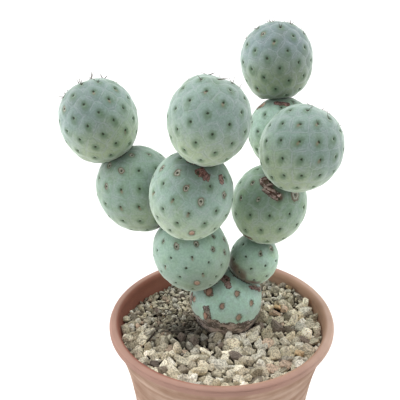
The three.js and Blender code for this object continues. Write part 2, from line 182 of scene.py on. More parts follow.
# Corky scars: the segment, the route of the scar as bearing and rise seen from the segment's
# centre, half its width, how high it stands, and how red it is. One that doesn't stand out at
# all is a soft brown stain.
SCARS = (
    ("segment_base", ((-124, 74), (-96, 70), (-87, 61)), 2.5, 0.9, 0.6),
    ("segment_base", ((-28, 44), (-11, 33)), 2.2, 0.9, 0.6),
    ("segment_base", ((-127, 16), (-121, 2)), 3.2, 1.4, 0.2),
    ("segment_base", ((-168, 22), (-166, 12)), 2.0, 0.8, 0.3),
    ("segment_base", ((-144, 44), (-129, 43)), 2.2, 0.9, 0.6),
    ("segment_left_2", ((-68, 56), (-62, 49)), 3.3, 1.6, 0.85),
    ("segment_left_2", ((-30, 40), (-34, 34)), 2.0, 0.9, 0.7),
    ("segment_right_2", ((-106, 66), (-119, 62), (-115, 55), (-104, 52), (-94, 56), (-95, 62)),
     1.5, 2.4, 0.05),
    ("segment_right_2", ((-104, 52), (-90, 48), (-77, 40)), 1.3, 2.4, 0.05),
    ("segment_right_2", ((-107, 47), (-95, 42), (-81, 34)), 1.3, 2.2, 0.05),
    ("segment_right_2", ((-110, 60), (-92, 46), (-78, 37)), 3.8, 0, 0.1),
    ("segment_right_2", ((-143, -37), (-126, -37)), 1.5, 0.9, 0.3),
    ("segment_right_1", ((-158, 2), (-140, -2), (-124, -10)), 5.6, 0, 0.3),
    ("segment_right_1", ((-135, -24), (-108, -28), (-80, -34)), 2.6, 0, 0.3),
    ("segment_back_1", ((-138, 75), (-110, 76), (-75, 75)), 2.2, 1.2, 0.8),
    ("segment_back_1", ((174, 50), (172, 44)), 1.6, 0.8, 0.4),
)

# How far over the soil the base segment's cork begins to end and ends, and how much lower it
# ends at two bearings, in mm.
SOIL_CORK = (8.8, 11.6)
LOW_CORK_BEARINGS = (-165, -15)
LOW_CORK_DROP = 3.5

# Where a segment bulges or is flattened: the segment, bearing and rise, radius and height in mm.
SWELLINGS = (
    ("segment_base", (-8, 38), 8, 2.0),
    ("segment_base", (-172, 20), 8, 2.0),
    ("segment_base", (-152, -14), 9, -1.4),
    ("segment_base", (-30, -16), 9, -1.0),
    ("segment_base", (-122, 9), 3.5, 1.4),
    ("segment_left_1", (-5, -9), 9, 0.8),
    ("segment_right_1", (-172, -13), 6, 0.6),
    ("segment_side_2", (128, 55), 8, -0.9),
    ("segment_side_2", (-129, -54), 12, 1.1),
    ("segment_left_3", (-10, 66), 8, -0.8),
    ("segment_left_3", (119, 58), 8, 0.7),
    ("segment_left_3", (58, 57), 7, -0.6),
    ("segment_left_3", (-90, 84), 5, 0.7),
    ("segment_back_2", (-30, -30), 9, 0.4),
    ("segment_back_2", (32, 43), 9, 0.8),
    ("segment_back_2", (-140, -49), 9, 1.3),
)

# How much darker painted shade makes the skin beside a joint, as a share, and how far from it
# in mm; the depth and radius of the dip at a young tip; and how near an areole or a scar the
# mesh is finer.
JOINT_SHADE = 0.42
JOINT_SHADE_REACH = 5.5
TIP_DIP = 0.9
TIP_DIP_RADIUS = 6
FINE_ROUND_AREOLE = 2.2
FINE_BESIDE_SCAR = 1.2

# Spines: how many areoles from the tip bear them, the share of them that stands up rather
# than lies on the skin, and the length of the longest in mm. They lean this many degrees from
# the areole's own direction, and are this many times as thick as the shape they're copied from.
STANDING_LEAN = (15, 55)
LYING_LEAN = (68, 84)
SPINE_THICKNESS = 5.2
SPINES = {
    "segment_side_2": (14, 0.7, 6.4),
    "segment_back_2": (16, 0.85, 5.4),
    "segment_left_3": (10, 0.1, 6.4),
    "segment_front": (11, 0.15, 6.0),
}

# How the skin changes with a segment's age: the height of its relief, the strength of the
# green halo round an areole and of the net, the share of areoles at the back with a corky
# ring, how blue its wax is, and how pale its foot, partly its own tone and partly painted light
# from below.
AGES = {
    "old": dict(relief=0.5, halo=0.3, net=0.0, corky_share=0.2, bloom=0.0, foot=0.4),
    "grown": dict(relief=0.7, halo=0.9, net=0.18, corky_share=0.1, bloom=0.6, foot=0.8),
    "young": dict(relief=0.85, halo=1.0, net=0.26, corky_share=0.0, bloom=1.0, foot=0.9),
}


def linear(colour):
    """An sRGB colour, three numbers or a hex text, as the linear RGBA that a shader takes."""
    if isinstance(colour, str):
        colour = [int(colour[i:i + 2], 16) / 255 for i in (1, 3, 5)]
    parts = [c / 12.92 if c <= 0.04045 else ((c + 0.055) / 1.055) ** 2.4 for c in colour]
    return (*parts, 1.0)


def srgb(text):
    """A hex text as the three sRGB numbers that a colour setting holds."""
    return tuple(int(text[i:i + 2], 16) / 255 for i in (1, 3, 5))


def feed(node, inputs):
    """Gives sockets of a node, by name or in their order, a value or what feeds them: an
    output, or a node, which stands for its first output."""
    if isinstance(inputs, dict):
        given = [(node.inputs[name], value) for name, value in inputs.items()]
    else:
        given = zip([socket for socket in node.inputs if socket.enabled], inputs)
    for socket, value in given:
        if isinstance(value, bpy.types.Node):
            value = next(output for output in value.outputs if output.enabled)
        if isinstance(value, bpy.types.NodeSocket):
            node.id_data.links.new(value, socket)
        else:
            socket.default_value = value


def add(tree, kind, inputs=(), **settings):
    """Adds a shader node with its settings, values and links."""
    node = tree.nodes.new(f"ShaderNode{kind}")
    for name, value in settings.items():
        setattr(node, name, value)
    feed(node, inputs)
    return node


# Settings that many nodes share: a range that is passed smoothly, and colours that are mixed.
SMOOTH = {"interpolation_type": "SMOOTHSTEP"}
COLOURS = {"data_type": "RGBA"}


def new_material(name):
    """An empty material with its Principled shader, joined to the output."""
    material = bpy.data.materials.new(name)
    material.use_nodes = True
    tree = material.node_tree
    tree.nodes.clear()
    shader = add(tree, "BsdfPrincipled")
    add(tree, "OutputMaterial", {"Surface": shader})
    return material, tree, shader


def deselect_all():
    if bpy.context.mode != "OBJECT":
        bpy.ops.object.mode_set(mode="OBJECT")
    bpy.ops.object.select_all(action="DESELECT")


def begin(primitive, **settings):
    """Adds a primitive with nothing else selected, and returns its object."""
    deselect_all()
    primitive(**settings)
    return bpy.context.object


def finished(piece, name, material, node):
    """Names a finished piece and lets it ride and stand for its node."""
    piece.name = piece.data.name = name
    piece.data.materials.clear()
    piece.data.materials.append(material)
    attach(piece, "root")
    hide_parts(node)


def store(mesh, name, kind, domain, values):
    """Keeps the numbers of a pattern on the mesh, for its material to read."""
    layer = mesh.attributes.new(name, kind, domain)
    field = "vector" if kind == "FLOAT_VECTOR" else "value"
    layer.data.foreach_set(field, np.ravel(values).astype(np.float32))


def smoothstep(low, high, x):
    t = np.clip((x - low) / (high - low), 0, 1)
    return t * t * (3 - 2 * t)


def noise_at(points, size, seed=0.0):
    """Smooth noise, about -1 to 1, with lumps of the given size at each point."""
    offset = Vector((seed * 7.13, seed * 3.71, seed * 1.93))
    return np.array([noise.noise(Vector(p) / size + offset) for p in points])


def coordinates(mesh):
    values = np.empty(len(mesh.vertices) * 3, np.float32)
    mesh.vertices.foreach_get("co", values)
    return values.reshape(-1, 3).astype(float)


def set_coordinates(mesh, points):
    mesh.vertices.foreach_set("co", np.ravel(points).astype(np.float32))
    mesh.update()


def direction_of(bearing, rise):
    b, r = math.radians(bearing), math.radians(rise)
    return np.array((math.cos(r) * math.cos(b), math.cos(r) * math.sin(b), math.sin(r)))


def flatten_between(a, b):
    """Two segments that meet are flat in the plane where their spheres cross."""
    apart = b.centre - a.centre
    length = np.linalg.norm(apart)
    from_a = (length ** 2 + a.radius ** 2 - b.radius ** 2) / (2 * length)
    a.flats.append((apart / length, from_a - TOUCH_GAP / 2))
    b.flats.append((-apart / length, length - from_a - TOUCH_GAP / 2))


def areole_directions(segment):
    """Where the areoles lie, counted from the tip, as in the frame."""
    side = np.cross((1.0, 0.0, 0.0), segment.axis)
    side /= np.linalg.norm(side)
    up = np.cross(segment.axis, side)
    count = np.arange(segment.areoles)
    along = 1 - (2 * (count + 0.5)) / segment.areoles
    across = np.sqrt(1 - along ** 2)
    angle = np.radians(segment.phase + segment.spiral * count * segment.turn)
    return (along[:, None] * segment.axis + (across * np.cos(angle))[:, None] * side
            + (across * np.sin(angle))[:, None] * up)


def settled_segments():
    """Works out each segment's centre from the one it grows from, and where it is flat."""
    by_name = {}
    for given in SEGMENTS:
        segment = SimpleNamespace(grown_from=None, seat=SEAT, plump=0, rings={}, eyes={}, flecks=(),
                                  sides=(), flats=[], **AGES[given["age"]])
        segment.__dict__.update(given)
        segment.axis = direction_of(*segment.tip)
        parent = by_name.get(segment.grown_from)
        if parent:
            reach = parent.radius + segment.radius - segment.seat
            segment.centre = parent.centre + reach * direction_of(segment.bearing, segment.rise)
        else:
            segment.centre = np.array(ROOT_SEGMENT, float)
        segment.directions = areole_directions(segment)
        by_name[segment.name] = segment
    joints = [(s.grown_from, s.name) for s in by_name.values() if s.grown_from]
    for first, second in (*joints, *PRESSED):
        flatten_between(by_name[first], by_name[second])
    return list(by_name.values())


def skin_points(segment, directions, heights):
    """Points of a segment's skin from its centre: its ovoid, raised by a height, and flat
    where it meets its neighbours."""
    along = directions @ segment.axis
    across = directions - along[:, None] * segment.axis
    points = across * (segment.radius * (SLIMNESS + TIP_WIDENING * along))[:, None]
    points += (along * segment.radius * LENGTHENING)[:, None] * segment.axis
    points += directions * heights[:, None]
    for normal, distance in segment.flats:
        beyond = np.maximum(points @ normal - distance, 0)
        points -= beyond[:, None] * normal
    return points


class SkinSettings(bpy.types.PropertyGroup):
    """The skin of the stem segments."""
    fineness: IntProperty(
        name="Fineness", description="Subdivisions of the ball that a segment starts from",
        default=6, min=3, max=7)
    tubercle_rise: FloatProperty(
        name="Tubercle rise", description="Height of the low swelling round an areole, mm", default=0.28)
    pit_depth: FloatProperty(
        name="Pit depth", description="Depth of the pit that an areole sits in, mm", default=0.75)
    pit_radius: FloatProperty(
        name="Pit radius", description="Radius of the pit that an areole sits in, mm", default=0.95)
    net_depth: FloatProperty(
        name="Net depth", description="Depth of the lines between tubercles, mm", default=0.12)
    net_width: FloatProperty(
        name="Net width", description="Half the width of the lines between tubercles, mm", default=0.45)
    cork_rise: FloatProperty(
        name="Cork rise", description="Height of corky skin over the green skin, mm", default=0.3)
    young: FloatVectorProperty(
        name="Young skin", description="Waxy skin of a young segment", subtype="COLOR_GAMMA",
        default=srgb("#99b2a9"))
    old: FloatVectorProperty(
        name="Old skin", description="Skin of an old segment", subtype="COLOR_GAMMA",
        default=srgb("#95b2a4"))
    foot: FloatVectorProperty(
        name="Foot of a segment", description="Paler skin low on a segment", subtype="COLOR_GAMMA",
        default=srgb("#b0bf9a"))
    greener: FloatVectorProperty(
        name="Greener skin", description="Skin where the wax is thin", subtype="COLOR_GAMMA",
        default=srgb("#86a081"))
    halo: FloatVectorProperty(
        name="Halo", description="Darker green skin round an areole", subtype="COLOR_GAMMA",
        default=srgb("#5a7557"))
    areole: FloatVectorProperty(
        name="Areole", description="Dark felt in an areole", subtype="COLOR_GAMMA",
        default=srgb("#2b3320"))
    cork: FloatVectorProperty(
        name="Cork", description="Corky skin", subtype="COLOR_GAMMA", default=srgb("#bca59b"))
    cork_low: FloatVectorProperty(
        name="Cork cracks", description="Corky skin between its scales", subtype="COLOR_GAMMA",
        default=srgb("#5e4842"))
    cork_edge: FloatVectorProperty(
        name="Cork edge", description="Dark edge of corky skin", subtype="COLOR_GAMMA",
        default=srgb("#4c332b"))


class GritSettings(bpy.types.PropertyGroup):
    """The stones in the pot."""
    shapes: IntProperty(
        name="Shapes", description="How many stones of each size are cut, before they are copied",
        default=18, min=1)
    lower: IntProperty(
        name="Lower stones", description="Stones tried in the layer underneath", default=1400)
    upper: IntProperty(
        name="Upper stones", description="Stones tried in the layer on top", default=2600)
    stalks: IntProperty(
        name="Stalks", description="Dry stalks strewn besides those that stand out", default=40)
    smallest: FloatProperty(
        name="Smallest", description="Width of the smallest stones, mm", default=1.5)
    largest: FloatProperty(
        name="Largest", description="Width of the largest stones, mm", default=6.0)


class PotSettings(bpy.types.PropertyGroup):
    """The clay pot."""
    sides: IntProperty(
        name="Sides", description="Steps round the pot", default=192, min=24)
    line_spacing: FloatProperty(
        name="Line spacing", description="Distance between turning lines, mm", default=1.3)
    line_depth: FloatProperty(
        name="Line depth", description="Depth of the turning lines, mm", default=0.07)
    clay: FloatVectorProperty(
        name="Clay", description="Fired clay outside", subtype="COLOR_GAMMA",
        default=srgb("#997660"))
    lime: FloatVectorProperty(
        name="Lime", description="Clay under a bloom of lime", subtype="COLOR_GAMMA",
        default=srgb("#c6ac9a"))
    rim_clay: FloatVectorProperty(
        name="Rim", description="Pinker clay of the rim", subtype="COLOR_GAMMA",
        default=srgb("#ae897b"))
    # Painted light: the rim's clay is paler on the right.
    lit_rim: FloatVectorProperty(
        name="Worn rim", description="Paler clay of the rim on the right", subtype="COLOR_GAMMA",
        default=srgb("#cbad9c"))
    # Painted shade and light: the inner wall is darker on the left and paler on the right.
    shaded_wall_clay: FloatVectorProperty(
        name="Damp clay", description="Redder, damper clay inside on the left", subtype="COLOR_GAMMA",
        default=srgb("#966051"))
    lit_wall_clay: FloatVectorProperty(
        name="Dry clay", description="Paler clay inside on the right", subtype="COLOR_GAMMA",
        default=srgb("#b08c77"))


class StageSettings(bpy.types.PropertyGroup):
    """The floor, the lights and the camera."""
    lens: FloatProperty(
        name="Lens", description="Focal length on a 36 mm wide sensor, mm", default=90)
    pitch: FloatProperty(
        name="Pitch", description="How far the camera looks down", subtype="ANGLE",
        default=math.radians(29.107))
    distance: FloatProperty(
        name="Distance", description="Camera to target", unit="LENGTH", default=0.50055)
    sky: FloatProperty(
        name="Sky", description="Strength of the even light all round", default=0.4)
    above: FloatProperty(
        name="Light above", description="Irradiance of the soft light overhead, W/m2", default=1.85)
    left: FloatProperty(
        name="Light on the left", description="Irradiance of the soft light behind on the left, W/m2",
        default=2.2)
    right: FloatProperty(
        name="Light on the right", description="Irradiance of the soft light behind on the right, W/m2",
        default=1.5)


def refined_ball(segment, settings):
    """A ball of triangles, divided once more round each areole and along each scar, as a
    mesh object with its directions."""
    ball = begin(bpy.ops.mesh.primitive_ico_sphere_add, subdivisions=settings.fineness, radius=1)
    mesh = ball.data
    middles = np.empty(len(mesh.polygons) * 3, np.float32)
    mesh.polygons.foreach_get("center", middles)
    middles = middles.reshape(-1, 3).astype(float)
    middles /= np.linalg.norm(middles, axis=1)[:, None]
    nearest = np.arccos(np.clip((middles @ segment.directions.T).max(1), -1, 1)) * segment.radius
    fine = nearest < FINE_ROUND_AREOLE
    for scar in scars_of(segment):
        beside = distance_to_route(middles * segment.radius, scar.route) - scar.half_width
        fine |= beside < FINE_BESIDE_SCAR
    mesh.vertices.foreach_set("select", np.zeros(len(mesh.vertices), bool))
    mesh.edges.foreach_set("select", np.zeros(len(mesh.edges), bool))
    mesh.polygons.foreach_set("select", fine)
    bpy.ops.object.mode_set(mode="EDIT")
    bpy.ops.mesh.select_mode(type="FACE")
    bpy.ops.mesh.subdivide(number_cuts=1, ngon=False)
    bpy.ops.mesh.select_all(action="SELECT")
    bpy.ops.mesh.quads_convert_to_tris()
    bpy.ops.object.mode_set(mode="OBJECT")
    directions = coordinates(mesh)
    return ball, directions / np.linalg.norm(directions, axis=1)[:, None]


def scars_of(segment):
    """The segment's scars, with their routes as points on its sphere, in mm."""
    for name, route, half_width, rise, red in SCARS:
        if name == segment.name:
            points = np.array([direction_of(*place) for place in route]) * segment.radius
            yield SimpleNamespace(route=points, half_width=half_width, rise=rise, red=red)


def distance_to_route(points, route):
    """The distance of each point from a route of straight stretches."""
    distances = []
    for start, end in zip(route, route[1:]):
        stretch = end - start
        share = np.clip((points - start) @ stretch / (stretch @ stretch), 0, 1)
        distances.append(np.linalg.norm(points - start - share[:, None] * stretch, axis=1))
    return np.min(distances, axis=0)


def fullness(segment, directions):
    """How far the skin stands out from the frame's, by the segment's plumpness and swellings."""
    heights = np.full(len(directions), float(segment.plump))
    for name, place, reach, height in SWELLINGS:
        if name == segment.name:
            away = np.linalg.norm(directions - direction_of(*place), axis=1) * segment.radius
            heights += height * np.exp(-(away / reach) ** 2)
    return heights


def cork_on(segment, directions):
    """How corky the skin is, how red the cork is and how high it stands, and how stained green
    skin is: at the soil line, in the creases between segments and on the scars. The first goes
    from 0 on green skin over 0.4 at a dark edge to 1 on cork."""
    points = skin_points(segment, directions, np.zeros(len(directions)))
    ragged = noise_at(points, 3.5, 5) + 0.5 * noise_at(points, 1.3, 9)
    cork = np.zeros(len(directions))
    red = np.zeros(len(directions))
    rise = np.zeros(len(directions))
    stain = np.zeros(len(directions))
    if segment.grown_from is None:
        over_soil = points[:, 2] + segment.centre[2] - GRIT_LEVEL
        over_soil += 3.0 * noise_at(points, 6, 5) + ragged
        for bearing in LOW_CORK_BEARINGS:
            over_soil += LOW_CORK_DROP * np.clip(directions @ direction_of(bearing, 0), 0, 1) ** 8
        cork = 1 - smoothstep(*SOIL_CORK, over_soil)
        rise = cork.copy()
    for normal, distance in segment.flats:
        inward = distance - points @ normal
        crease = 0.45 * (1 - smoothstep(0.0, 0.8, inward + 0.5 * ragged))
        cork = np.maximum(cork, crease)
    for scar in scars_of(segment):
        off = distance_to_route(directions * segment.radius, scar.route)
        half = scar.half_width
        if not scar.rise:
            soft = 1 - smoothstep(0.2 * half, half, off + 0.25 * half * ragged)
            stain = np.maximum(stain, soft)
            continue
        mark = 1 - smoothstep(0.3 * half, 1.15 * half, off + 0.4 * half * ragged)
        red = np.where(mark > cork, scar.red, red)
        cork = np.maximum(cork, mark)
        rise = np.maximum(rise, mark * scar.rise)
    return cork, red, rise, stain


def grow_skin(segment, settings, index):
    """The skin of one segment: tubercles, areole pits, the net between them and cork. Its
    growth attribute holds how far towards the tip a place is, its shade, which is its own tone
    with painted light and shade, and how green it is."""
    ball, directions = refined_ball(segment, settings)
    mesh = ball.data
    radius, relief = segment.radius, segment.relief
    angles = np.arccos(np.clip(directions @ segment.directions.T, -1, 1))
    nearest_two = np.sort(angles, axis=1)[:, :2] * radius
    off, gap = nearest_two[:, 0], nearest_two[:, 1] - nearest_two[:, 0]
    cell = radius * math.sqrt(4 / segment.areoles)
    dome = settings.tubercle_rise * (1 - 1.2 * (off / cell) ** 2)
    pit = settings.pit_depth * np.exp(-(off / settings.pit_radius) ** 2)
    net = settings.net_depth * np.exp(-(gap / 2 / settings.net_width) ** 2)
    cork, red, rise, stain = cork_on(segment, directions)
    surface = directions * radius
    # Soft lumps 17 mm and 5 mm across, crumbs of 1 mm on the cork, and a dip at a young tip.
    lumps = 0.35 * noise_at(surface, 17, index) + 0.06 * noise_at(surface, 5, index + 20)
    crust = rise * settings.cork_rise * (1 + 0.8 * noise_at(surface, 0.9, 3))
    tip = np.arccos(np.clip(directions @ segment.axis, -1, 1)) * radius
    dip = TIP_DIP * np.exp(-(tip / TIP_DIP_RADIUS) ** 2) if segment.age == "young" else 0
    heights = relief * (dome - net) - pit * (1 - 0.6 * cork) + lumps + crust - dip
    points = skin_points(segment, directions, heights + fullness(segment, directions)) + segment.centre
    set_coordinates(mesh, points * MM)
    store(mesh, "cork", "FLOAT", "POINT", cork)
    store(mesh, "red", "FLOAT", "POINT", red)
    store(mesh, "stain", "FLOAT", "POINT", stain)
    growth = np.tile((0.0, segment.shade, segment.green), (len(directions), 1))
    growth[:, 0] = directions @ segment.axis
    # Painted shade: the skin is darker beside each joint.
    for normal, distance in segment.flats:
        inward = distance - (points - segment.centre) @ normal
        growth[:, 1] *= 1 - JOINT_SHADE * (1 - smoothstep(0, JOINT_SHADE_REACH, inward))
    # Painted light and shade: the skin is paler or darker towards the segment's given sides.
    for bearing, rise, share in segment.sides:
        growth[:, 1] *= 1 + share * np.clip(directions @ direction_of(bearing, rise), 0, 1) ** 5
    store(mesh, "growth", "FLOAT_VECTOR", "POINT", growth)
    store_areoles(mesh, segment, directions, index)
    bpy.ops.object.shade_smooth()
    return ball


def store_areoles(mesh, segment, directions, index):
    """Keeps, for each face, its corners' places round its areole in mm, how much nearer each
    corner is to it than to the next two areoles, and what that areole is like."""
    random = np.random.default_rng(RANDOM_SEED + index)
    loops = np.empty(len(mesh.loops), np.int32)
    mesh.loops.foreach_get("vertex_index", loops)
    corners = directions[loops].reshape(-1, 3, 3)
    middles = corners.mean(1)
    order = np.argsort(-(middles @ segment.directions.T), axis=1)[:, :3]
    home, second, third = (segment.directions[order[:, k]] for k in range(3))
    upward = segment.axis - (home @ segment.axis)[:, None] * home
    upward /= np.linalg.norm(upward, axis=1)[:, None]
    sideways = np.cross(upward, home)
    place = np.zeros((len(middles), 3, 3))
    place[..., 0] = np.einsum("fck,fk->fc", corners, sideways) * segment.radius
    place[..., 1] = np.einsum("fck,fk->fc", corners, upward) * segment.radius
    nearer = np.zeros_like(place)
    for k, other in enumerate((second, third)):
        apart = np.linalg.norm(home - other, axis=1)[:, None]
        nearer[..., k] = np.einsum("fck,fk->fc", corners, home - other) / apart * segment.radius
    store(mesh, "areole_place", "FLOAT_VECTOR", "CORNER", place)
    store(mesh, "net_gap", "FLOAT_VECTOR", "CORNER", nearer)
    # Behind, where the photograph shows nothing, chance gives some areoles a ring or bristles.
    marks = np.zeros((segment.areoles, 3))
    behind = segment.directions[:, 1] > 0.3
    ringed = behind & (random.random(segment.areoles) < segment.corky_share)
    marks[ringed, 0] = random.uniform(1.2, 2.0, segment.areoles)[ringed]
    marks[:, 2] = np.where(behind & (random.random(segment.areoles) < 0.15), 1.0, 0.0)
    for number, size in segment.rings.items():
        marks[number, 0] = size
    for number, size in segment.eyes.items():
        marks[number, :2] = size, 1
    marks[list(segment.flecks), 2] = 1
    store(mesh, "mark", "FLOAT_VECTOR", "FACE", marks[order[:, 0]])


def waxy_skin(name, settings, facts):
    """Cactus epidermis under a thin matt wax: soft, hardly glossy, a little translucent, and
    pale where the light grazes it."""
    material, tree, shader = new_material(name)
    coords = add(tree, "TexCoord").outputs["Object"]
    place, gaps, mark, growth = (
        add(tree, "Attribute", attribute_name=kept).outputs["Vector"]
        for kept in ("areole_place", "net_gap", "mark", "growth"))
    cork, red, stain = (
        add(tree, "Attribute", attribute_name=kept).outputs["Fac"] for kept in ("cork", "red", "stain"))
    to_second, to_third, _ = add(tree, "SeparateXYZ", (gaps,)).outputs
    size, filled, fleck = add(tree, "SeparateXYZ", (mark,)).outputs
    tipward, shade, greenness = add(tree, "SeparateXYZ", (growth,)).outputs

    # Clouds 11 mm across, mottles 4 mm and 1 mm across, and a grain of wax of 0.4 mm.
    clouds = add(tree, "TexNoise", {"Vector": coords, "Scale": 90, "Detail": 2})
    mottle = add(tree, "TexNoise", {"Vector": coords, "Scale": 250, "Detail": 3})
    ragged = add(tree, "TexNoise", {"Vector": coords, "Scale": 1000, "Detail": 3})
    grain = add(tree, "TexNoise", {"Vector": coords, "Scale": 2500, "Detail": 2})

    # Young skin is bluer than old skin, it is greener where the wax is thin, and the foot of a
    # segment is paler and yellower, partly its own tone and partly painted light from below.
    wax = [a + (b - a) * facts["bloom"] for a, b in zip(settings.old, settings.young)]
    cloudy = add(tree, "MapRange", (clouds, 0.5, 0.72, 0, 0.5), **SMOOTH)
    thin = add(tree, "Math", (greenness, cloudy), operation="ADD")
    green = add(tree, "Mix", (thin, linear(wax), linear(settings.greener)), clamp_factor=False, **COLOURS)
    low = add(tree, "MapRange", (tipward, 0.25, -0.85, 0, facts["foot"]), **SMOOTH)
    footed = add(tree, "Mix", (low, green, linear(settings.foot)), **COLOURS)
    powder = add(tree, "MapRange", (mottle, 0.45, 0.65, 0, 0.22), **SMOOTH)
    powdered = add(tree, "Mix", (powder, footed, linear("#a8b4b8")), **COLOURS)
    dapples = add(tree, "MapRange", (ragged, 0.3, 0.7, 0.9, 1.08), **SMOOTH)
    # The growth's shade brings the segment's own tone with painted light and shade.
    lighter = add(tree, "Math", (shade, dapples), operation="MULTIPLY")
    mottled = add(tree, "VectorMath", (powdered, lighter), operation="SCALE")

    # The place round the areole, with a wavering edge of half a millimetre. Its green halo is
    # drawn out towards the foot of the segment.
    waver = add(tree, "VectorMath", (ragged.outputs["Color"], (0.5, 0.5, 0.5)), operation="SUBTRACT")
    wavy = add(tree, "VectorMath", (waver, (1.2, 1.2, 0), place), operation="MULTIPLY_ADD")
    flat = add(tree, "VectorMath", (wavy, (1, 1, 0)), operation="MULTIPLY")
    off = add(tree, "VectorMath", (flat,), operation="LENGTH")
    drawn = add(tree, "VectorMath", (flat, (1.12, 0.92, 0), (0, 0.5, 0)), operation="MULTIPLY_ADD")
    halo_off = add(tree, "VectorMath", (drawn,), operation="LENGTH")
    halo_edge = add(tree, "Math", (mottle, 2.4, halo_off), operation="MULTIPLY_ADD")
    halo = add(tree, "MapRange", (halo_edge, 1.9, 4.7, 0.74 * facts["halo"], 0), **SMOOTH)
    haloed = add(tree, "Mix", (halo, mottled, linear(settings.halo)), **COLOURS)

    # The net: fine pale lilac lines halfway between areoles, that waver, part and break, with
    # darker ones in places. Each is shifted by a noise, and by what centres that noise.
    to_second = add(tree, "Math", (to_second,), operation="ABSOLUTE")
    to_third = add(tree, "Math", (to_third,), operation="ABSOLUTE")
    gap = add(tree, "Math", (to_second, to_third), operation="MINIMUM")
    netted = haloed
    for stray, reach, centring, strength, tone in ((mottle, -3.0, 1.3, 0.75, "#cdccd8"),
                                                   (clouds, -2.4, 0.9, 0.8, "#6c827c")):
        centred = add(tree, "Math", (gap, centring), operation="ADD")
        strayed = add(tree, "Math", (stray, reach, centred), operation="MULTIPLY_ADD")
        parted = add(tree, "Math", (strayed,), operation="ABSOLUTE")
        line = add(tree, "MapRange", (parted, 0.05, 0.4, strength * facts["net"], 0), **SMOOTH)
        netted = add(tree, "Mix", (line, netted, linear(tone)), **COLOURS)

    # Stains: brown and mottled.
    streaky = add(tree, "MapRange", (mottle, 0.3, 0.7, 0.7, 1), **SMOOTH)
    brown = add(tree, "Math", (stain, streaky), operation="MULTIPLY")
    stained = add(tree, "Mix", (brown, netted, linear("#5f3b30")), **COLOURS)

    # Corky skin: pinkish brown cork in flat scales 5 mm wide and 1.4 mm high with pale grains,
    # and where it is red, a crust of dark and pink crumbs. Its dark edge is frayed by noise.
    scales = add(tree, "Mapping", {"Vector": coords, "Scale": (190, 190, 700)})
    scaly = add(tree, "TexNoise", {"Vector": scales, "Scale": 1, "Detail": 5})
    raised = add(tree, "MapRange", (scaly, 0.44, 0.6), **SMOOTH)
    terraces = add(tree, "Mix", (raised, linear(settings.cork_low), linear(settings.cork)), **COLOURS)
    grains = add(tree, "MapRange", (ragged, 0.56, 0.68, 0, 0.7), **SMOOTH)
    grained = add(tree, "Mix", (grains, terraces, linear("#d6c8be")), **COLOURS)
    crumbs = add(tree, "MapRange", (ragged, 0.4, 0.6), **SMOOTH)
    crust = add(tree, "Mix", (crumbs, linear("#43201f"), linear("#8d5c56")), **COLOURS)
    redder = add(tree, "Mix", (red, grained, crust), **COLOURS)
    frayed = cork
    for stray, reach in ((ragged, 1.3), (grain, 0.5)):
        centred = add(tree, "Math", (stray, 0.5), operation="SUBTRACT")
        frayed = add(tree, "Math", (centred, reach, frayed), operation="MULTIPLY_ADD")
    inner = add(tree, "MapRange", (frayed, 0.45, 0.75), **SMOOTH)
    edged = add(tree, "Mix", (inner, linear(settings.cork_edge), redder), **COLOURS)
    thick = add(tree, "MapRange", (frayed, 0.3, 0.46, 0, 0.92), **SMOOTH)
    near_cork = add(tree, "MapRange", (cork, 0.02, 0.15), **SMOOTH)
    covered = add(tree, "Math", (thick, near_cork), operation="MULTIPLY")
    corked = add(tree, "Mix", (covered, stained, edged), **COLOURS)

    # Rings: a pale band between two uneven brown lines, with darker skin round it. Eyes: tan
    # all over, with one brown line round them. Share is how far out towards the mark's own
    # radius a place is, and marked is 0 on the areoles without a mark.
    squashed = add(tree, "VectorMath", (flat, (1, 0.8, 0)), operation="MULTIPLY")
    uneven = add(tree, "VectorMath", (squashed,), operation="LENGTH")
    for stray, reach in ((mottle, 1.1), (ragged, 0.9)):
        uneven = add(tree, "Math", (stray, reach, uneven), operation="MULTIPLY_ADD")
    centred = add(tree, "Math", (uneven, 0.95), operation="SUBTRACT")
    radius = add(tree, "Math", (size, 0.5), operation="MAXIMUM")
    share = add(tree, "Math", (centred, radius), operation="DIVIDE")
    marked = add(tree, "Math", (size, 0.5), operation="GREATER_THAN")
    outer = add(tree, "MapRange", (share, 1, 1.9, 0.5, 0), **SMOOTH)
    surround = add(tree, "Math", (outer, marked), operation="MULTIPLY")
    darkened = add(tree, "Mix", (surround, corked, linear("#647a63")), **COLOURS)
    middle = add(tree, "MapRange", (share, 0.7, 1.05, 0.7, 0), **SMOOTH)
    inside = add(tree, "Math", (middle, marked), operation="MULTIPLY")
    middle_tone = add(tree, "Mix", (filled, linear("#bab9ab"), linear("#c3937f")), **COLOURS)
    middled = add(tree, "Mix", (inside, darkened, middle_tone), **COLOURS)
    lines = []
    for at, narrow, wide, strength in ((0.98, 0.05, 0.32, 0.8), (0.42, 0.04, 0.22, 0.7)):
        beside = add(tree, "Math", (share, at), operation="SUBTRACT")
        beside = add(tree, "Math", (beside,), operation="ABSOLUTE")
        lines.append(add(tree, "MapRange", (beside, narrow, wide, strength, 0), **SMOOTH))
    unfilled = add(tree, "MapRange", (filled, 0, 1, 1, 0), **SMOOTH)
    inline = add(tree, "Math", (lines[1], unfilled), operation="MULTIPLY")
    both = add(tree, "Math", (lines[0], inline), operation="MAXIMUM")
    broken = add(tree, "MapRange", (clouds, 0.36, 0.5, 0.5, 1), **SMOOTH)
    partly = add(tree, "Math", (marked, broken), operation="MULTIPLY")
    lined = add(tree, "Math", (both, partly), operation="MULTIPLY")
    eyed = add(tree, "Mix", (lined, middled, linear("#6f5449")), **COLOURS)

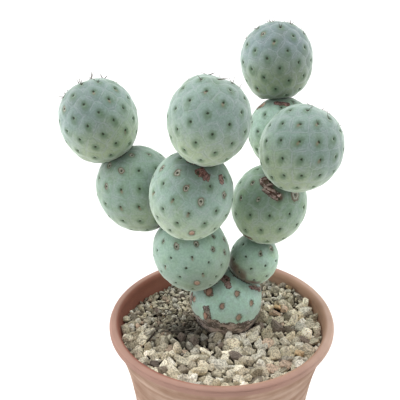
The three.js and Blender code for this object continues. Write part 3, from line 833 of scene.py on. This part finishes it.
    # The areole's dark felt, and in some a fleck of rusty bristles under it.
    dot = add(tree, "MapRange", (off, 0.35, 0.95, 0.95, 0), **SMOOTH)
    gone = add(tree, "Math", (filled, marked), operation="MULTIPLY")
    kept = add(tree, "Math", (1, gone), operation="SUBTRACT")
    felt = add(tree, "Math", (dot, kept), operation="MULTIPLY")
    dotted = add(tree, "Mix", (felt, eyed, linear(settings.areole)), **COLOURS)
    beneath = add(tree, "VectorMath", (flat, (1, 0.7, 0), (0.35, 0.8, 0)), operation="MULTIPLY_ADD")
    bristle_off = add(tree, "VectorMath", (beneath,), operation="LENGTH")
    bristles = add(tree, "MapRange", (bristle_off, 0.2, 1.1, 0.45, 0), **SMOOTH)
    rusty = add(tree, "Math", (bristles, fleck), operation="MULTIPLY")
    skin = add(tree, "Mix", (rusty, dotted, linear("#946f57")), **COLOURS)

    relief = add(tree, "Math", (grain, mottle), operation="ADD")
    bump = add(tree, "Bump", {"Height": relief, "Strength": 0.35, "Distance": 0.00012})
    rough = add(tree, "MapRange", (cork, 0.1, 0.5, 0.52, 0.9), **SMOOTH)
    sheen = add(tree, "MapRange", (cork, 0.1, 0.45, 0.95, 0.1), **SMOOTH)
    feed(shader, {
        "Base Color": skin, "Roughness": rough, "Normal": bump, "IOR": 1.45, "Specular IOR Level": 0.35,
        "Sheen Weight": sheen, "Sheen Roughness": 0.4, "Sheen Tint": linear("#f0fff4"),
        "Subsurface Weight": 0.12, "Subsurface Radius": (0.6, 1.0, 0.5), "Subsurface Scale": 2 * MM})
    return material


class CACTUS_OT_grow_segments(bpy.types.Operator):
    """Grow the stem segments, each from a ball, with their areoles, net and cork"""
    bl_idname = "cactus.grow_segments"
    bl_label = "Grow segments"

    def execute(self, context):
        settings = context.scene.cactus_skin
        skins = {
            age: waxy_skin(f"Waxy cactus skin, {age}", settings, facts)
            for age, facts in AGES.items()
        }
        for index, segment in enumerate(settled_segments()):
            ball = grow_skin(segment, settings, index)
            finished(ball, f"{segment.name}_skin", skins[segment.age], segment.name)
        return {"FINISHED"}


def spine_shape():
    """One slender spine, 1 mm long along +Z, thickest at its root and a little curved."""
    spine = begin(bpy.ops.mesh.primitive_cone_add, vertices=5, radius1=0.042, radius2=0.004,
                  depth=1, end_fill_type="NGON", location=(0, 0, 0.5))
    bpy.ops.object.transform_apply(location=True, rotation=False, scale=False)
    bpy.ops.object.mode_set(mode="EDIT")
    bpy.ops.mesh.select_all(action="SELECT")
    for height in (0.3, 0.65):
        bpy.ops.mesh.bisect(plane_co=(0, 0, height), plane_no=(0, 0, 1))
        bpy.ops.mesh.select_all(action="SELECT")
    bpy.ops.object.mode_set(mode="OBJECT")
    points = coordinates(spine.data)
    points[:, 0] += 0.12 * points[:, 2] ** 2
    set_coordinates(spine.data, points)
    return spine


def joined_copies(shapes, places, name):
    """Copies shapes, each with its own mesh, to their places and joins the copies in one.
    A place is the number of its shape, its matrix, and numbers to keep on its faces."""
    copies = []
    for shape, matrix, kept in places:
        mesh = shapes[shape].data.copy()
        mesh.transform(matrix)
        for key, value in kept.items():
            store(mesh, key, "FLOAT", "FACE", np.full(len(mesh.polygons), value))
        copy = bpy.data.objects.new(name, mesh)
        bpy.context.scene.collection.objects.link(copy)
        copies.append(copy)
    deselect_all()
    for copy in copies:
        copy.select_set(True)
    bpy.context.view_layer.objects.active = copies[0]
    bpy.ops.object.join()
    return copies[0]


def remove(objects):
    for thing in objects:
        bpy.data.objects.remove(thing)


def spine_horn():
    """Spine horn: dead, smooth and hard, dark brown with paler bands."""
    material, tree, shader = new_material("Spine horn")
    coords = add(tree, "TexCoord").outputs["Object"]
    # Bands 0.6 mm long along the spines, fine as they are.
    band = add(tree, "TexNoise", {"Vector": coords, "Scale": 1600, "Detail": 1})
    colour = add(tree, "Mix", (band, linear("#2c2721"), linear("#75675a")), **COLOURS)
    feed(shader, {"Base Color": colour, "Roughness": 0.45})
    return material


class CACTUS_OT_add_spines(bpy.types.Operator):
    """Set the short spines in the areoles round each young tip"""
    bl_idname = "cactus.add_spines"
    bl_label = "Add spines"

    def execute(self, context):
        random = np.random.default_rng(RANDOM_SEED)
        shape = spine_shape()
        horn = spine_horn()
        for segment in settled_segments():
            if segment.name not in SPINES:
                continue
            armed, standing, longest = SPINES[segment.name]
            places = []
            for number, direction in enumerate(segment.directions[:armed]):
                for _ in range(random.integers(2, 5)):
                    aside = random.normal(size=3)
                    aside -= (aside @ direction) * direction
                    aside /= np.linalg.norm(aside)
                    leans = STANDING_LEAN if random.random() < standing else LYING_LEAN
                    lean = math.radians(random.uniform(*leans))
                    aim = math.cos(lean) * direction + math.sin(lean) * aside
                    length = random.uniform(0.5, 1.0) * longest * (1 - 0.3 * number / armed)
                    sunk = fullness(segment, direction[None, :]) - 0.6
                    foot = skin_points(segment, direction[None, :], sunk)[0] + segment.centre
                    foot = foot + random.uniform(-0.2, 0.2, 3)
                    roll = Euler((0, 0, random.uniform(0, 6.28))).to_quaternion()
                    turn = Vector(aim).to_track_quat("Z", "X") @ roll
                    size = Vector((SPINE_THICKNESS, SPINE_THICKNESS, length))
                    places.append((0, Matrix.LocRotScale(Vector(foot) * MM, turn, size * MM), {}))
            spines = joined_copies([shape], places, f"{segment.name}_spines")
            finished(spines, f"{segment.name}_spines", horn, segment.name)
        remove([shape])
        return {"FINISHED"}


def body_radius(height):
    """The pot's outer radius below the rim, as in the frame."""
    drop = POT_HEIGHT - RIM_HEIGHT - height
    straight = SHOULDER_RADIUS + (TAPER_RADIUS - SHOULDER_RADIUS) * drop / POT_HEIGHT
    return straight - FLARE * (1 - math.exp(-drop / FLARE_REACH))


def inner_radius(height):
    return min(body_radius(height) - WALL, MOUTH_RADIUS - 0.4)


def rounded(points, steps):
    """A smooth line through points, with steps between each two."""
    points = np.array(points, float)
    padded = np.vstack([2 * points[0] - points[1], points, 2 * points[-1] - points[-2]])
    line = []
    for a, b, c, d in zip(padded, padded[1:], padded[2:], padded[3:]):
        for t in np.arange(steps) / steps:
            line.append(0.5 * (2 * b + (c - a) * t + (2 * a - 5 * b + 4 * c - d) * t ** 2
                               + (3 * b - a - 3 * c + d) * t ** 3))
    return [*line, points[-1]]


def turned(profile, sides):
    """A turned solid about Z: a profile of (radius, height) in mm, drawn by extruding one
    corner from end to end and spun all the way round."""
    piece = begin(bpy.ops.mesh.primitive_plane_add, size=MM)
    bpy.ops.object.mode_set(mode="EDIT")
    bpy.ops.mesh.select_all(action="SELECT")
    bpy.ops.mesh.merge(type="CENTER")
    first = Vector((profile[0][0], 0, profile[0][1])) * MM
    bpy.ops.transform.translate(value=first)
    for (r0, z0), (r1, z1) in zip(profile, profile[1:]):
        step = Vector((r1 - r0, 0, z1 - z0)) * MM
        bpy.ops.mesh.extrude_region_move(TRANSFORM_OT_translate={"value": step})
    bpy.ops.mesh.select_all(action="SELECT")
    bpy.ops.mesh.spin(steps=sides, angle=2 * math.pi, center=(0, 0, 0), axis=(0, 0, 1))
    bpy.ops.mesh.select_all(action="SELECT")
    bpy.ops.mesh.remove_doubles(threshold=0.002 * MM)
    bpy.ops.mesh.normals_make_consistent(inside=False)
    bpy.ops.object.mode_set(mode="OBJECT")
    return piece


def pot_profile(settings):
    """The pot's section from the middle of its underside, out, up, over the rim and in again."""
    under_rim = POT_HEIGHT - RIM_HEIGHT
    # Steps of 0.7 mm, so that the turning lines show.
    outside = []
    for z in np.linspace(BASE_CHAMFER, under_rim, 150):
        wave = math.sin(2 * math.pi * z / settings.line_spacing + 1.5 * noise.noise((z / 7, 0, 0)))
        line = settings.line_depth * wave * (0.6 + noise.noise((z / 3, 5, 0)))
        outside.append((body_radius(z) + line, z))
    rim = [(RIM_RADIUS - inward, under_rim + up) for inward, up in RIM_SECTION]
    rolled = rounded([outside[-1], *rim, (inner_radius(under_rim), under_rim)], 6)
    inside = [(inner_radius(z), z) for z in np.linspace(under_rim, FLOOR, 30)[1:]]
    foot = body_radius(0) - BASE_CHAMFER
    underside = [(0, 0), (foot * 0.5, 0), (foot, 0), (foot + 0.6, 0.3)]
    return [*underside, *outside[:-1], *rolled, *inside, (0, FLOOR)]


def fired_clay(settings):
    """Unglazed fired clay, thrown and wiped: matt, a pinkish rim, paler on the right with painted
    light, over a paler tan body with a chalky skin and turning lines, and a darker, redder wall
    inside, with painted shade on the left and painted light on the right."""
    material, tree, shader = new_material("Fired clay, unglazed")
    coords = add(tree, "TexCoord").outputs["Object"]
    inside, rim = (
        add(tree, "Attribute", attribute_name=kept).outputs["Fac"] for kept in ("inside", "rim"))

    # Turning lines 0.9 mm and 3 mm apart: noise stretched all round the pot.
    drawn = add(tree, "Mapping", {"Vector": coords, "Scale": (5, 5, 1100)})
    lines = add(tree, "TexNoise", {"Vector": drawn, "Scale": 1, "Detail": 3})
    wide = add(tree, "Mapping", {"Vector": coords, "Scale": (7, 7, 330)})
    streaks = add(tree, "TexNoise", {"Vector": wide, "Scale": 1, "Detail": 2})
    # Blooms of lime 18 mm across, and the clay's grit of 0.5 mm.
    blooms = add(tree, "TexNoise", {"Vector": coords, "Scale": 55, "Detail": 4})
    grit = add(tree, "TexNoise", {"Vector": coords, "Scale": 2000, "Detail": 2})

    limy = add(tree, "Math", (streaks, 0.6, blooms), operation="MULTIPLY_ADD")
    limed = add(tree, "MapRange", (limy, 0.52, 1.18), **SMOOTH)
    body = add(tree, "Mix", (limed, linear(settings.clay), linear(settings.lime)), **COLOURS)
    across = add(tree, "SeparateXYZ", (coords,)).outputs["X"]
    # Painted light: the rim is paler on the right.
    right_on_rim = add(tree, "Math", (blooms, 0.02, across), operation="MULTIPLY_ADD")
    painted_rim_light = add(tree, "MapRange", (right_on_rim, 0.035, 0.075), **SMOOTH)
    rolled = add(tree, "Mix", (painted_rim_light, linear(settings.rim_clay), linear(settings.lit_rim)), **COLOURS)
    outside = add(tree, "Mix", (rim, body, rolled), **COLOURS)
    # Painted shade and light: the inner wall is darker on the left and paler on the right.
    right_inside = add(tree, "Math", (blooms, 0.03, across), operation="MULTIPLY_ADD")
    wall_light = add(tree, "MapRange", (right_inside, -0.03, 0.045), **SMOOTH)
    wall = add(tree, "Mix", (wall_light, linear(settings.shaded_wall_clay), linear(settings.lit_wall_clay)), **COLOURS)
    base = add(tree, "Mix", (inside, outside, wall), **COLOURS)
    tones = add(tree, "Math", (lines, 0.7, blooms), operation="MULTIPLY_ADD")
    lighter = add(tree, "MapRange", (tones, 0.5, 1.2, 0.9, 1.08), **SMOOTH)
    colour = add(tree, "VectorMath", (base, lighter), operation="SCALE")
    relief = add(tree, "Math", (lines, grit), operation="ADD")
    bump = add(tree, "Bump", {"Height": relief, "Strength": 0.5, "Distance": 0.0002})
    feed(shader, {"Base Color": colour, "Normal": bump, "Roughness": 0.82, "Specular IOR Level": 0.3})
    return material


def store_clay_zones(pot):
    """Keeps on the pot's mesh where the rim is and where the inner wall, which starts halfway
    over the lip."""
    points = coordinates(pot.data) / MM
    across, height = np.hypot(points[:, 0], points[:, 1]), points[:, 2]
    under_rim = POT_HEIGHT - RIM_HEIGHT
    wall = np.array([inner_radius(min(z, under_rim)) + WALL / 2 for z in height])
    # The wall's tone ends 2.9 mm out on the lip in front and 2 mm out on the sides and behind: it
    # paints shade on the lip's inner half, widest in front.
    edge = MOUTH_RADIUS + 2.9 - 0.9 * smoothstep(-45, -15, points[:, 1])
    within = np.where(height > under_rim, smoothstep(edge, edge - 1.6, across), across < wall)
    store(pot.data, "inside", "FLOAT", "POINT", within * (height > FLOOR - 1))
    store(pot.data, "rim", "FLOAT", "POINT", smoothstep(under_rim - 0.3, under_rim + 0.5, height))


class CACTUS_OT_throw_pot(bpy.types.Operator):
    """Throw the clay pot with its rolled rim, and cut its drain holes"""
    bl_idname = "cactus.throw_pot"
    bl_label = "Throw pot"

    def execute(self, context):
        settings = context.scene.cactus_pot
        pot = turned(pot_profile(settings), settings.sides)
        for turn in range(DRAIN_COUNT):
            angle = 2 * math.pi * turn / DRAIN_COUNT
            place = Vector((DRAIN_CIRCLE * math.sin(angle), -DRAIN_CIRCLE * math.cos(angle), 0)) * MM
            drill = begin(bpy.ops.mesh.primitive_cylinder_add, vertices=48, radius=DRAIN_RADIUS * MM,
                          depth=3 * FLOOR * MM, location=place)
            cut = pot.modifiers.new("drain", "BOOLEAN")
            cut.object, cut.operation, cut.solver = drill, "DIFFERENCE", "EXACT"
            bpy.context.view_layer.objects.active = pot
            bpy.ops.object.modifier_apply(modifier=cut.name)
            remove([drill])
        deselect_all()
        pot.select_set(True)
        bpy.context.view_layer.objects.active = pot
        bpy.ops.object.shade_smooth_by_angle(angle=math.radians(40))
        store_clay_zones(pot)
        finished(pot, "clay_pot", fired_clay(settings), "pot")
        return {"FINISHED"}


def stalk_shape():
    """One dry stalk, 1 mm long along +Z, flattened, crooked and frayed at its ends."""
    stalk = begin(bpy.ops.mesh.primitive_cylinder_add, vertices=8, radius=0.05, depth=1)
    bpy.ops.object.mode_set(mode="EDIT")
    for height in np.linspace(-0.4, 0.4, 7):
        bpy.ops.mesh.select_all(action="SELECT")
        bpy.ops.mesh.bisect(plane_co=(0, 0, height), plane_no=(0, 0, 1))
    bpy.ops.object.mode_set(mode="OBJECT")
    points = coordinates(stalk.data)
    bend = noise_at(np.column_stack([points[:, 2], points[:, 2] * 0, points[:, 2] * 0]), 0.35, 4)
    points[:, 0] += 0.05 * bend
    points[:, 1] *= 0.6 * (1.1 - np.abs(points[:, 2]))
    set_coordinates(stalk.data, points)
    bpy.ops.object.shade_smooth()
    return stalk


def dry_stalk():
    """Dry stalks and splinters of bark: fibrous and matt, straw to dark brown."""
    material, tree, shader = new_material("Dry stalk")
    coords = add(tree, "TexCoord").outputs["Object"]
    own_tone = add(tree, "Attribute", attribute_name="tone").outputs["Fac"]
    # Fibres 0.7 mm across.
    fibres = add(tree, "TexNoise", {"Vector": coords, "Scale": 1400, "Detail": 2})
    tone = add(tree, "Mix", (own_tone, linear("#3d3129"), linear("#ddd5c4")), **COLOURS)
    lighter = add(tree, "MapRange", (fibres, 0.35, 0.65, 0.7, 1.1), **SMOOTH)
    colour = add(tree, "VectorMath", (tone, lighter), operation="SCALE")
    feed(shader, {"Base Color": colour, "Roughness": 0.9})
    return material


class CACTUS_OT_drop_stalks(bpy.types.Operator):
    """Drop the dry stalks and splinters on the grit left of the plant"""
    bl_idname = "cactus.drop_stalks"
    bl_label = "Drop stalks"

    def execute(self, context):
        random = np.random.default_rng(RANDOM_SEED + 3)
        shape = stalk_shape()
        places = list(STALKS)
        for _ in range(context.scene.cactus_grit.stalks):
            x, y = random.normal(LITTER["middle"], LITTER["spread"])
            from_base = math.hypot(x - ROOT_SEGMENT[0], y - ROOT_SEGMENT[1])
            if from_base > LITTER_FROM_BASE and math.hypot(x, y) < LITTER_REACH:
                heading = random.normal(*LITTER["heading"])
                places.append((x, y, heading, *(random.uniform(*LITTER[key])
                                                for key in ("length", "width", "tone"))))
        laid = []
        for number, (x, y, heading, length, width, tone) in enumerate(places):
            lift = STALK_LIFT if number < len(STALKS) else random.uniform(*LITTER["lift"])
            aim = Euler((0, math.radians(90 - random.uniform(0, 8)), math.radians(heading)))
            foot = Vector((x, y, level_at(x, y) + lift)) * MM
            matrix = Matrix.LocRotScale(foot, aim, Vector((width, width, length)) * MM)
            laid.append((0, matrix, {"tone": tone}))
        stalks = joined_copies([shape], laid, "dry_stalks")
        finished(stalks, "dry_stalks", dry_stalk(), "grit")
        remove([shape])
        return {"FINISHED"}


def potting_mix():
    """Potting mix: damp and dark, with crumbs of bark and a little grit in it."""
    material, tree, shader = new_material("Potting mix")
    coords = add(tree, "TexCoord").outputs["Object"]
    # Crumbs 1.1 mm across, each with its own brown.
    crumbs = add(tree, "TexVoronoi", {"Vector": coords, "Scale": 900})
    tone = add(tree, "ValToRGB", {"Fac": crumbs.outputs["Color"]})
    tone.color_ramp.elements[0].color = linear("#2b221b")
    tone.color_ramp.elements[1].color = linear("#6b5a48")
    bump = add(tree, "Bump", {"Height": crumbs, "Strength": 0.8, "Distance": 0.0006})
    feed(shader, {"Base Color": tone, "Normal": bump, "Roughness": 0.95})
    return material


def level_at(x, y):
    """The height of the grit's surface at a place, mm: level, with low swells and heaps."""
    heaps = sum(height * math.exp(-((x - a) ** 2 + (y - b) ** 2) / reach ** 2)
                for a, b, reach, height in HEAPS)
    heaped = GRIT_LEVEL + heaps
    return heaped + 1.1 * noise.noise((x / 19, y / 19, 3)) + 0.5 * noise.noise((x / 8, y / 8, 7))


class CACTUS_OT_fill_pot(bpy.types.Operator):
    """Fill the pot with potting mix up to the stones"""
    bl_idname = "cactus.fill_pot"
    bl_label = "Fill pot"

    def execute(self, context):
        low, top = FLOOR + TOUCH_GAP, GRIT_LEVEL - MIX_DEPTH
        # The surface has steps of about 1 mm inwards, so that it can be rough.
        side = [(inner_radius(z) - TOUCH_GAP, z) for z in np.linspace(low, top, MIX_STEPS["up"])]
        surface = [(r, top) for r in np.linspace(side[-1][0], 0, MIX_STEPS["across"])[1:]]
        mix = turned([(0, low), *side, *surface], MIX_STEPS["round"])
        points = coordinates(mix.data) / MM
        lifted = points[:, 2] > top - 0.01
        points[lifted, 2] = [level_at(x, y) - MIX_DEPTH + 0.5 * noise.noise((x / 1.6, y / 1.6, 1))
                             for x, y, _ in points[lifted]]
        set_coordinates(mix.data, points * MM)
        bpy.ops.object.shade_smooth()
        finished(mix, "potting_mix", potting_mix(), "grit")
        return {"FINISHED"}


# The smallest and largest share of its width that a stone's length, breadth and height have.
STONE_SHARES = ((0.9, 1.4), (0.75, 1.0), (0.55, 0.85))


def stone_shapes(count, subdivisions):
    """Chips of pumice: lumps with flat faces broken off and hollows, each about 1 mm across."""
    random = np.random.default_rng(RANDOM_SEED + 5 + subdivisions)
    shapes = []
    for number in range(count):
        stone = begin(bpy.ops.mesh.primitive_ico_sphere_add, subdivisions=subdivisions, radius=0.56)
        bpy.ops.object.mode_set(mode="EDIT")
        bpy.ops.mesh.select_all(action="SELECT")
        bpy.ops.transform.resize(value=[random.uniform(*shares) for shares in STONE_SHARES])
        for _ in range(3 + 3 * subdivisions):
            normal = Vector(random.normal(size=3)).normalized()
            bpy.ops.mesh.select_all(action="SELECT")
            bpy.ops.mesh.bisect(plane_co=normal * random.uniform(0.16, 0.4), plane_no=normal,
                                use_fill=True, clear_outer=True)
        bpy.ops.mesh.select_all(action="SELECT")
        bpy.ops.mesh.quads_convert_to_tris()
        bpy.ops.object.mode_set(mode="OBJECT")
        points = coordinates(stone.data)
        lumps = 0.06 * noise_at(points, 0.5, number) + 0.03 * noise_at(points, 0.2, number)
        points *= 1.3 + lumps[:, None]
        set_coordinates(stone.data, points)
        shapes.append(stone)
    return shapes


def patch(x, y, middle, reach, power=2):
    """How far inside an oval patch a place lies: 1 in its middle, near 0 outside its reach."""
    return math.exp(-((x - middle[0]) / reach[0]) ** power - ((y - middle[1]) / reach[1]) ** power)


def coarseness(x, y):
    """How coarse the stones lie at a place: fine and dirty left of the base, where litter has
    gathered, and towards the back, coarse in front and on the right."""
    near_litter = patch(x, y, (-24, 12), (17, 17))
    return 1 - near_litter - 0.62 * smoothstep(-5, 35, y - 0.2 * x)


def litter_and_painted_light(x, y):
    """How pale the stones are at a place: dark with litter left of the base and in front of it on
    the left, darker at the back and a little in front, and paler on the right as painted light."""
    litter = patch(x, y, (-17, 1), (15, 12))
    litter = max(litter, 0.95 * patch(x, y, (-14, -9), (12, 5), power=4))
    left = patch(x, y, (-40, -6), (16, 16))
    right = patch(x, y, (38, 10), (17, 19))
    front = smoothstep(-14, -34, y)
    back = smoothstep(18, 40, y)
    # Painted light: the stones are paler on the right.
    tone = (1.14 - litter) * (1 + 0.15 * right) * (1 - 0.1 * front)
    return tone * (1 - 0.42 * back) * (1 - 0.04 * left)


# How often a place is tried for a stone, how strongly small ones prevail, and the share of the
# range of widths that is allowed where the grit lies finest.
STONE_TRIES = 24
SMALL_STONES = 1.3
FINEST = 0.32


def strewn(count, smallest, largest, crowding, random, laid):
    """Places for stones on the grit that hardly overlap, the largest laid first, as
    (x, y, width) in mm. They keep clear of the wall and of the base segment."""
    base_x, base_y, base_z = ROOT_SEGMENT
    base_radius = SLIMNESS * math.sqrt(SEGMENTS[0]["radius"] ** 2 - (base_z - GRIT_LEVEL - 1) ** 2)
    # More of the stones are small than large, and none is large where the grit lies fine.
    widths = np.sort(smallest * (largest / smallest) ** (random.random(count) ** SMALL_STONES))[::-1]
    laid = list(laid)
    # The laid stones in squares as wide as the largest, so that only near ones are compared.
    cells = {}
    for stone in laid:
        cells.setdefault((int(stone[0] // largest), int(stone[1] // largest)), []).append(stone)
    for width in widths:
        reach = inner_radius(GRIT_LEVEL + 2) - 0.22 * width
        for _ in range(STONE_TRIES):
            x, y = random.uniform(-reach, reach, 2)
            if math.hypot(x, y) > reach or math.hypot(x - base_x, y - base_y) < base_radius + 0.36 * width:
                continue
            if width > smallest + (largest - smallest) * max(FINEST, coarseness(x, y)):
                continue
            column, row = int(x // largest), int(y // largest)
            around = [(column + i, row + j) for i in (-1, 0, 1) for j in (-1, 0, 1)]
            near = [other for cell in around for other in cells.get(cell, ())]
            if all(math.hypot(x - a, y - b) > crowding * (width + w) / 2 for a, b, w in near):
                laid.append((x, y, width))
                cells.setdefault((column, row), []).append((x, y, width))
                break
    return laid


def pumice_chips():
    """Pumice, lava and a little quartz, crushed and dry: chalky, pitted, cream to grey, each
    stone with its own tone, and dusty brown with painted shade down between them."""
    material, tree, shader = new_material("Pumice chips")
    coords = add(tree, "TexCoord").outputs["Object"]
    tone, shade, height = (
        add(tree, "Attribute", attribute_name=kept).outputs["Fac"] for kept in ("tone", "shade", "height"))
    stones = add(tree, "ValToRGB", {"Fac": tone})
    ramp = stones.color_ramp
    ramp.interpolation = "CONSTANT"
    for start, colour in ((0.16, "#d9d1bd"), (0.3, "#b8ae97"), (0.44, "#cfc7b2"), (0.56, "#a8a08d"),
                          (0.66, "#c3beb0"), (0.75, "#c6b09c"), (0.79, "#968b7c"), (0.86, "#e6e0d2"),
                          (0.955, "#80746a")):
        ramp.elements.new(start).color = linear(colour)
    ramp.elements[0].color = linear("#c9bfab")
    ramp.elements[-1].color = linear("#bda584")
    ramp.elements[-1].position = 0.988

    # Pores 0.8 mm across, patches of 2 mm, and specks of dark lava of 0.4 mm.
    pores = add(tree, "TexNoise", {"Vector": coords, "Scale": 1200, "Detail": 3})
    patches = add(tree, "TexNoise", {"Vector": coords, "Scale": 500, "Detail": 2})
    specks = add(tree, "TexVoronoi", {"Vector": coords, "Scale": 1500})

    # Dust and shade between the stones, from 0.7 mm under the grit's level to 1.5 mm over it.
    raised = add(tree, "MapRange", (height, -0.7, 1.5), **SMOOTH)
    clearer = add(tree, "MapRange", (raised, 0, 1, 0.12, 1.25), **SMOOTH)
    lighter = add(tree, "Math", (shade, clearer), operation="MULTIPLY")
    pitted = add(tree, "MapRange", (pores, 0.36, 0.58, 0.55, 1.08), **SMOOTH)
    patched = add(tree, "MapRange", (patches, 0.3, 0.6, 0.82, 1.05), **SMOOTH)
    speckled = add(tree, "MapRange", (specks, 0.08, 0.22, 0.6, 1), **SMOOTH)
    pitted = add(tree, "Math", (lighter, pitted), operation="MULTIPLY")
    speckled = add(tree, "Math", (patched, speckled), operation="MULTIPLY")
    tones = add(tree, "Math", (pitted, speckled), operation="MULTIPLY")
    dust_and_shade = add(tree, "Mix", (raised, linear("#7d6a57"), stones), **COLOURS)
    colour = add(tree, "VectorMath", (dust_and_shade, tones), operation="SCALE")
    bump = add(tree, "Bump", {"Height": pores, "Strength": 0.6, "Distance": 0.0004})
    feed(shader, {"Base Color": colour, "Normal": bump, "Roughness": 0.93, "Specular IOR Level": 0.25})
    return material


class CACTUS_OT_strew_grit(bpy.types.Operator):
    """Strew the stones over the potting mix in two layers"""
    bl_idname = "cactus.strew_grit"
    bl_label = "Strew grit"

    def execute(self, context):
        settings = context.scene.cactus_grit
        random = np.random.default_rng(RANDOM_SEED + 6)
        shapes = [*stone_shapes(settings.shapes, 2), *stone_shapes(settings.shapes, 1)]
        places = []
        for layer, count, smallest, largest, known in (
                (LOWER_LAYER, settings.lower, *LOWER_WIDTHS, ()),
                (UPPER_LAYER, settings.upper, settings.smallest, settings.largest, KNOWN_STONES)):
            laid = [stone[:3] for stone in known]
            laid = strewn(count, smallest, largest, layer["crowding"], random, laid)
            for number, (x, y, width) in enumerate(laid):
                turn = Euler(random.uniform(0, 2 * math.pi, 3))
                z = level_at(x, y) + layer["lift"] + 0.1 * width + random.uniform(-0.5, 0.5)
                matrix = Matrix.LocRotScale(Vector((x, y, z)) * MM, turn, Vector((width * 1.12,) * 3) * MM)
                shade = random.uniform(*layer["shades"])
                kept = {"tone": random.random(), "shade": shade * litter_and_painted_light(x, y)}
                if number < len(known):
                    # A known light from 0 to 1 is the shade of a dark stone up to a clean one.
                    tone, light = known[number][3:]
                    matrix.translation.z += KNOWN_LIFT * MM
                    kept = {"tone": tone, "shade": 0.3 + 0.85 * light}
                plain = settings.shapes if width < PLAIN_WIDTH or layer is LOWER_LAYER else 0
                places.append((plain + random.integers(settings.shapes), matrix, kept))
        stones = joined_copies(shapes, places, "grit_stones")
        # What would stick through the pot's wall is pressed back inside it.
        points = coordinates(stones.data) / MM
        across = np.hypot(points[:, 0], points[:, 1])
        wall = np.array([inner_radius(min(z, POT_HEIGHT - RIM_HEIGHT)) for z in points[:, 2]]) - TOUCH_GAP
        points[:, :2] *= np.minimum(1, wall / np.maximum(across, 1))[:, None]
        set_coordinates(stones.data, points * MM)
        over_level = [z - level_at(x, y) for x, y, z in points]
        store(stones.data, "height", "FLOAT", "POINT", over_level)
        bpy.ops.object.shade_smooth_by_angle(angle=math.radians(24))
        finished(stones, "grit_stones", pumice_chips(), "grit")
        remove(shapes)
        return {"FINISHED"}


# The point in the middle of the picture, found from the rim's ellipse in it.
VIEW_TARGET = (-11.544, 0, 182.293)


class CACTUS_OT_set_stage(bpy.types.Operator):
    """Set the plain floor, the soft lights and the camera"""
    bl_idname = "cactus.set_stage"
    bl_label = "Set stage"

    def execute(self, context):
        settings = context.scene.cactus_stage
        scene = context.scene
        floor = begin(bpy.ops.mesh.primitive_plane_add, size=8)
        floor.name = "studio_floor"
        # Background paper, uncoated: matt and even, it takes only soft shadows.
        paper, _, shader = new_material("Matt white paper")
        feed(shader, {"Base Color": linear("#fbfbfa"), "Roughness": 0.9})
        floor.data.materials.append(paper)

        world = bpy.data.worlds.new("Soft white room")
        world.use_nodes = True
        light = world.node_tree.nodes["Background"]
        light.inputs["Color"].default_value = (1, 1, 1, 1)
        light.inputs["Strength"].default_value = settings.sky
        scene.world = world
        scene.view_settings.view_transform = "Standard"

        # A broad soft light overhead and one behind on each side, as in a white light tent.
        for name, place, strength, spread in (("light_above", (-0.1, 0.2, 1), settings.above, 50),
                                              ("light_left", (-1, 0.3, 0.35), settings.left, 70),
                                              ("light_right", (1, 0.5, 0.4), settings.right, 70)):
            lamp_data = bpy.data.lights.new(name, "SUN")
            lamp_data.energy, lamp_data.angle = strength, math.radians(spread)
            lamp = bpy.data.objects.new(name, lamp_data)
            scene.collection.objects.link(lamp)
            lamp.rotation_euler = Vector(place).to_track_quat("Z", "Y").to_euler()

        target = Vector(VIEW_TARGET) * MM
        sight = Vector((0, math.cos(settings.pitch), -math.sin(settings.pitch)))
        camera_data = bpy.data.cameras.new("camera")
        camera_data.lens, camera_data.sensor_width = settings.lens, 36
        camera = bpy.data.objects.new("camera", camera_data)
        scene.collection.objects.link(camera)
        camera.location = target - sight * settings.distance
        camera.rotation_euler = (math.pi / 2 - settings.pitch, 0, 0)
        scene.camera = camera
        return {"FINISHED"}


class CACTUS_PT_panel(bpy.types.Panel):
    """Lists the steps in their order, and the settings under them"""
    bl_idname = "CACTUS_PT_panel"
    bl_label = "Potted cactus"
    bl_space_type = "VIEW_3D"
    bl_region_type = "UI"
    bl_category = "Cactus"

    def draw(self, context):
        for operator in OPERATORS:
            self.layout.operator(operator.bl_idname)
        for key in SETTINGS:
            box = self.layout.box()
            group = getattr(context.scene, key)
            for name in group.__annotations__:
                box.prop(group, name)


SETTINGS = {
    "cactus_skin": SkinSettings,
    "cactus_grit": GritSettings,
    "cactus_pot": PotSettings,
    "cactus_stage": StageSettings,
}
OPERATORS = (
    CACTUS_OT_throw_pot,
    CACTUS_OT_fill_pot,
    CACTUS_OT_strew_grit,
    CACTUS_OT_drop_stalks,
    CACTUS_OT_grow_segments,
    CACTUS_OT_add_spines,
    CACTUS_OT_set_stage,
)


def register():
    for kind in (*SETTINGS.values(), *OPERATORS, CACTUS_PT_panel):
        bpy.utils.register_class(kind)
    for key, kind in SETTINGS.items():
        setattr(bpy.types.Scene, key, PointerProperty(type=kind))


def unregister():
    for key in SETTINGS:
        delattr(bpy.types.Scene, key)
    for kind in reversed((*SETTINGS.values(), *OPERATORS, CACTUS_PT_panel)):
        bpy.utils.unregister_class(kind)


def main():
    register()
    bpy.ops.cactus.throw_pot()
    bpy.ops.cactus.fill_pot()
    bpy.ops.cactus.strew_grit()
    bpy.ops.cactus.drop_stalks()
    bpy.ops.cactus.grow_segments()
    bpy.ops.cactus.add_spines()
    bpy.ops.cactus.set_stage()


if __name__ == "__main__":
    main()
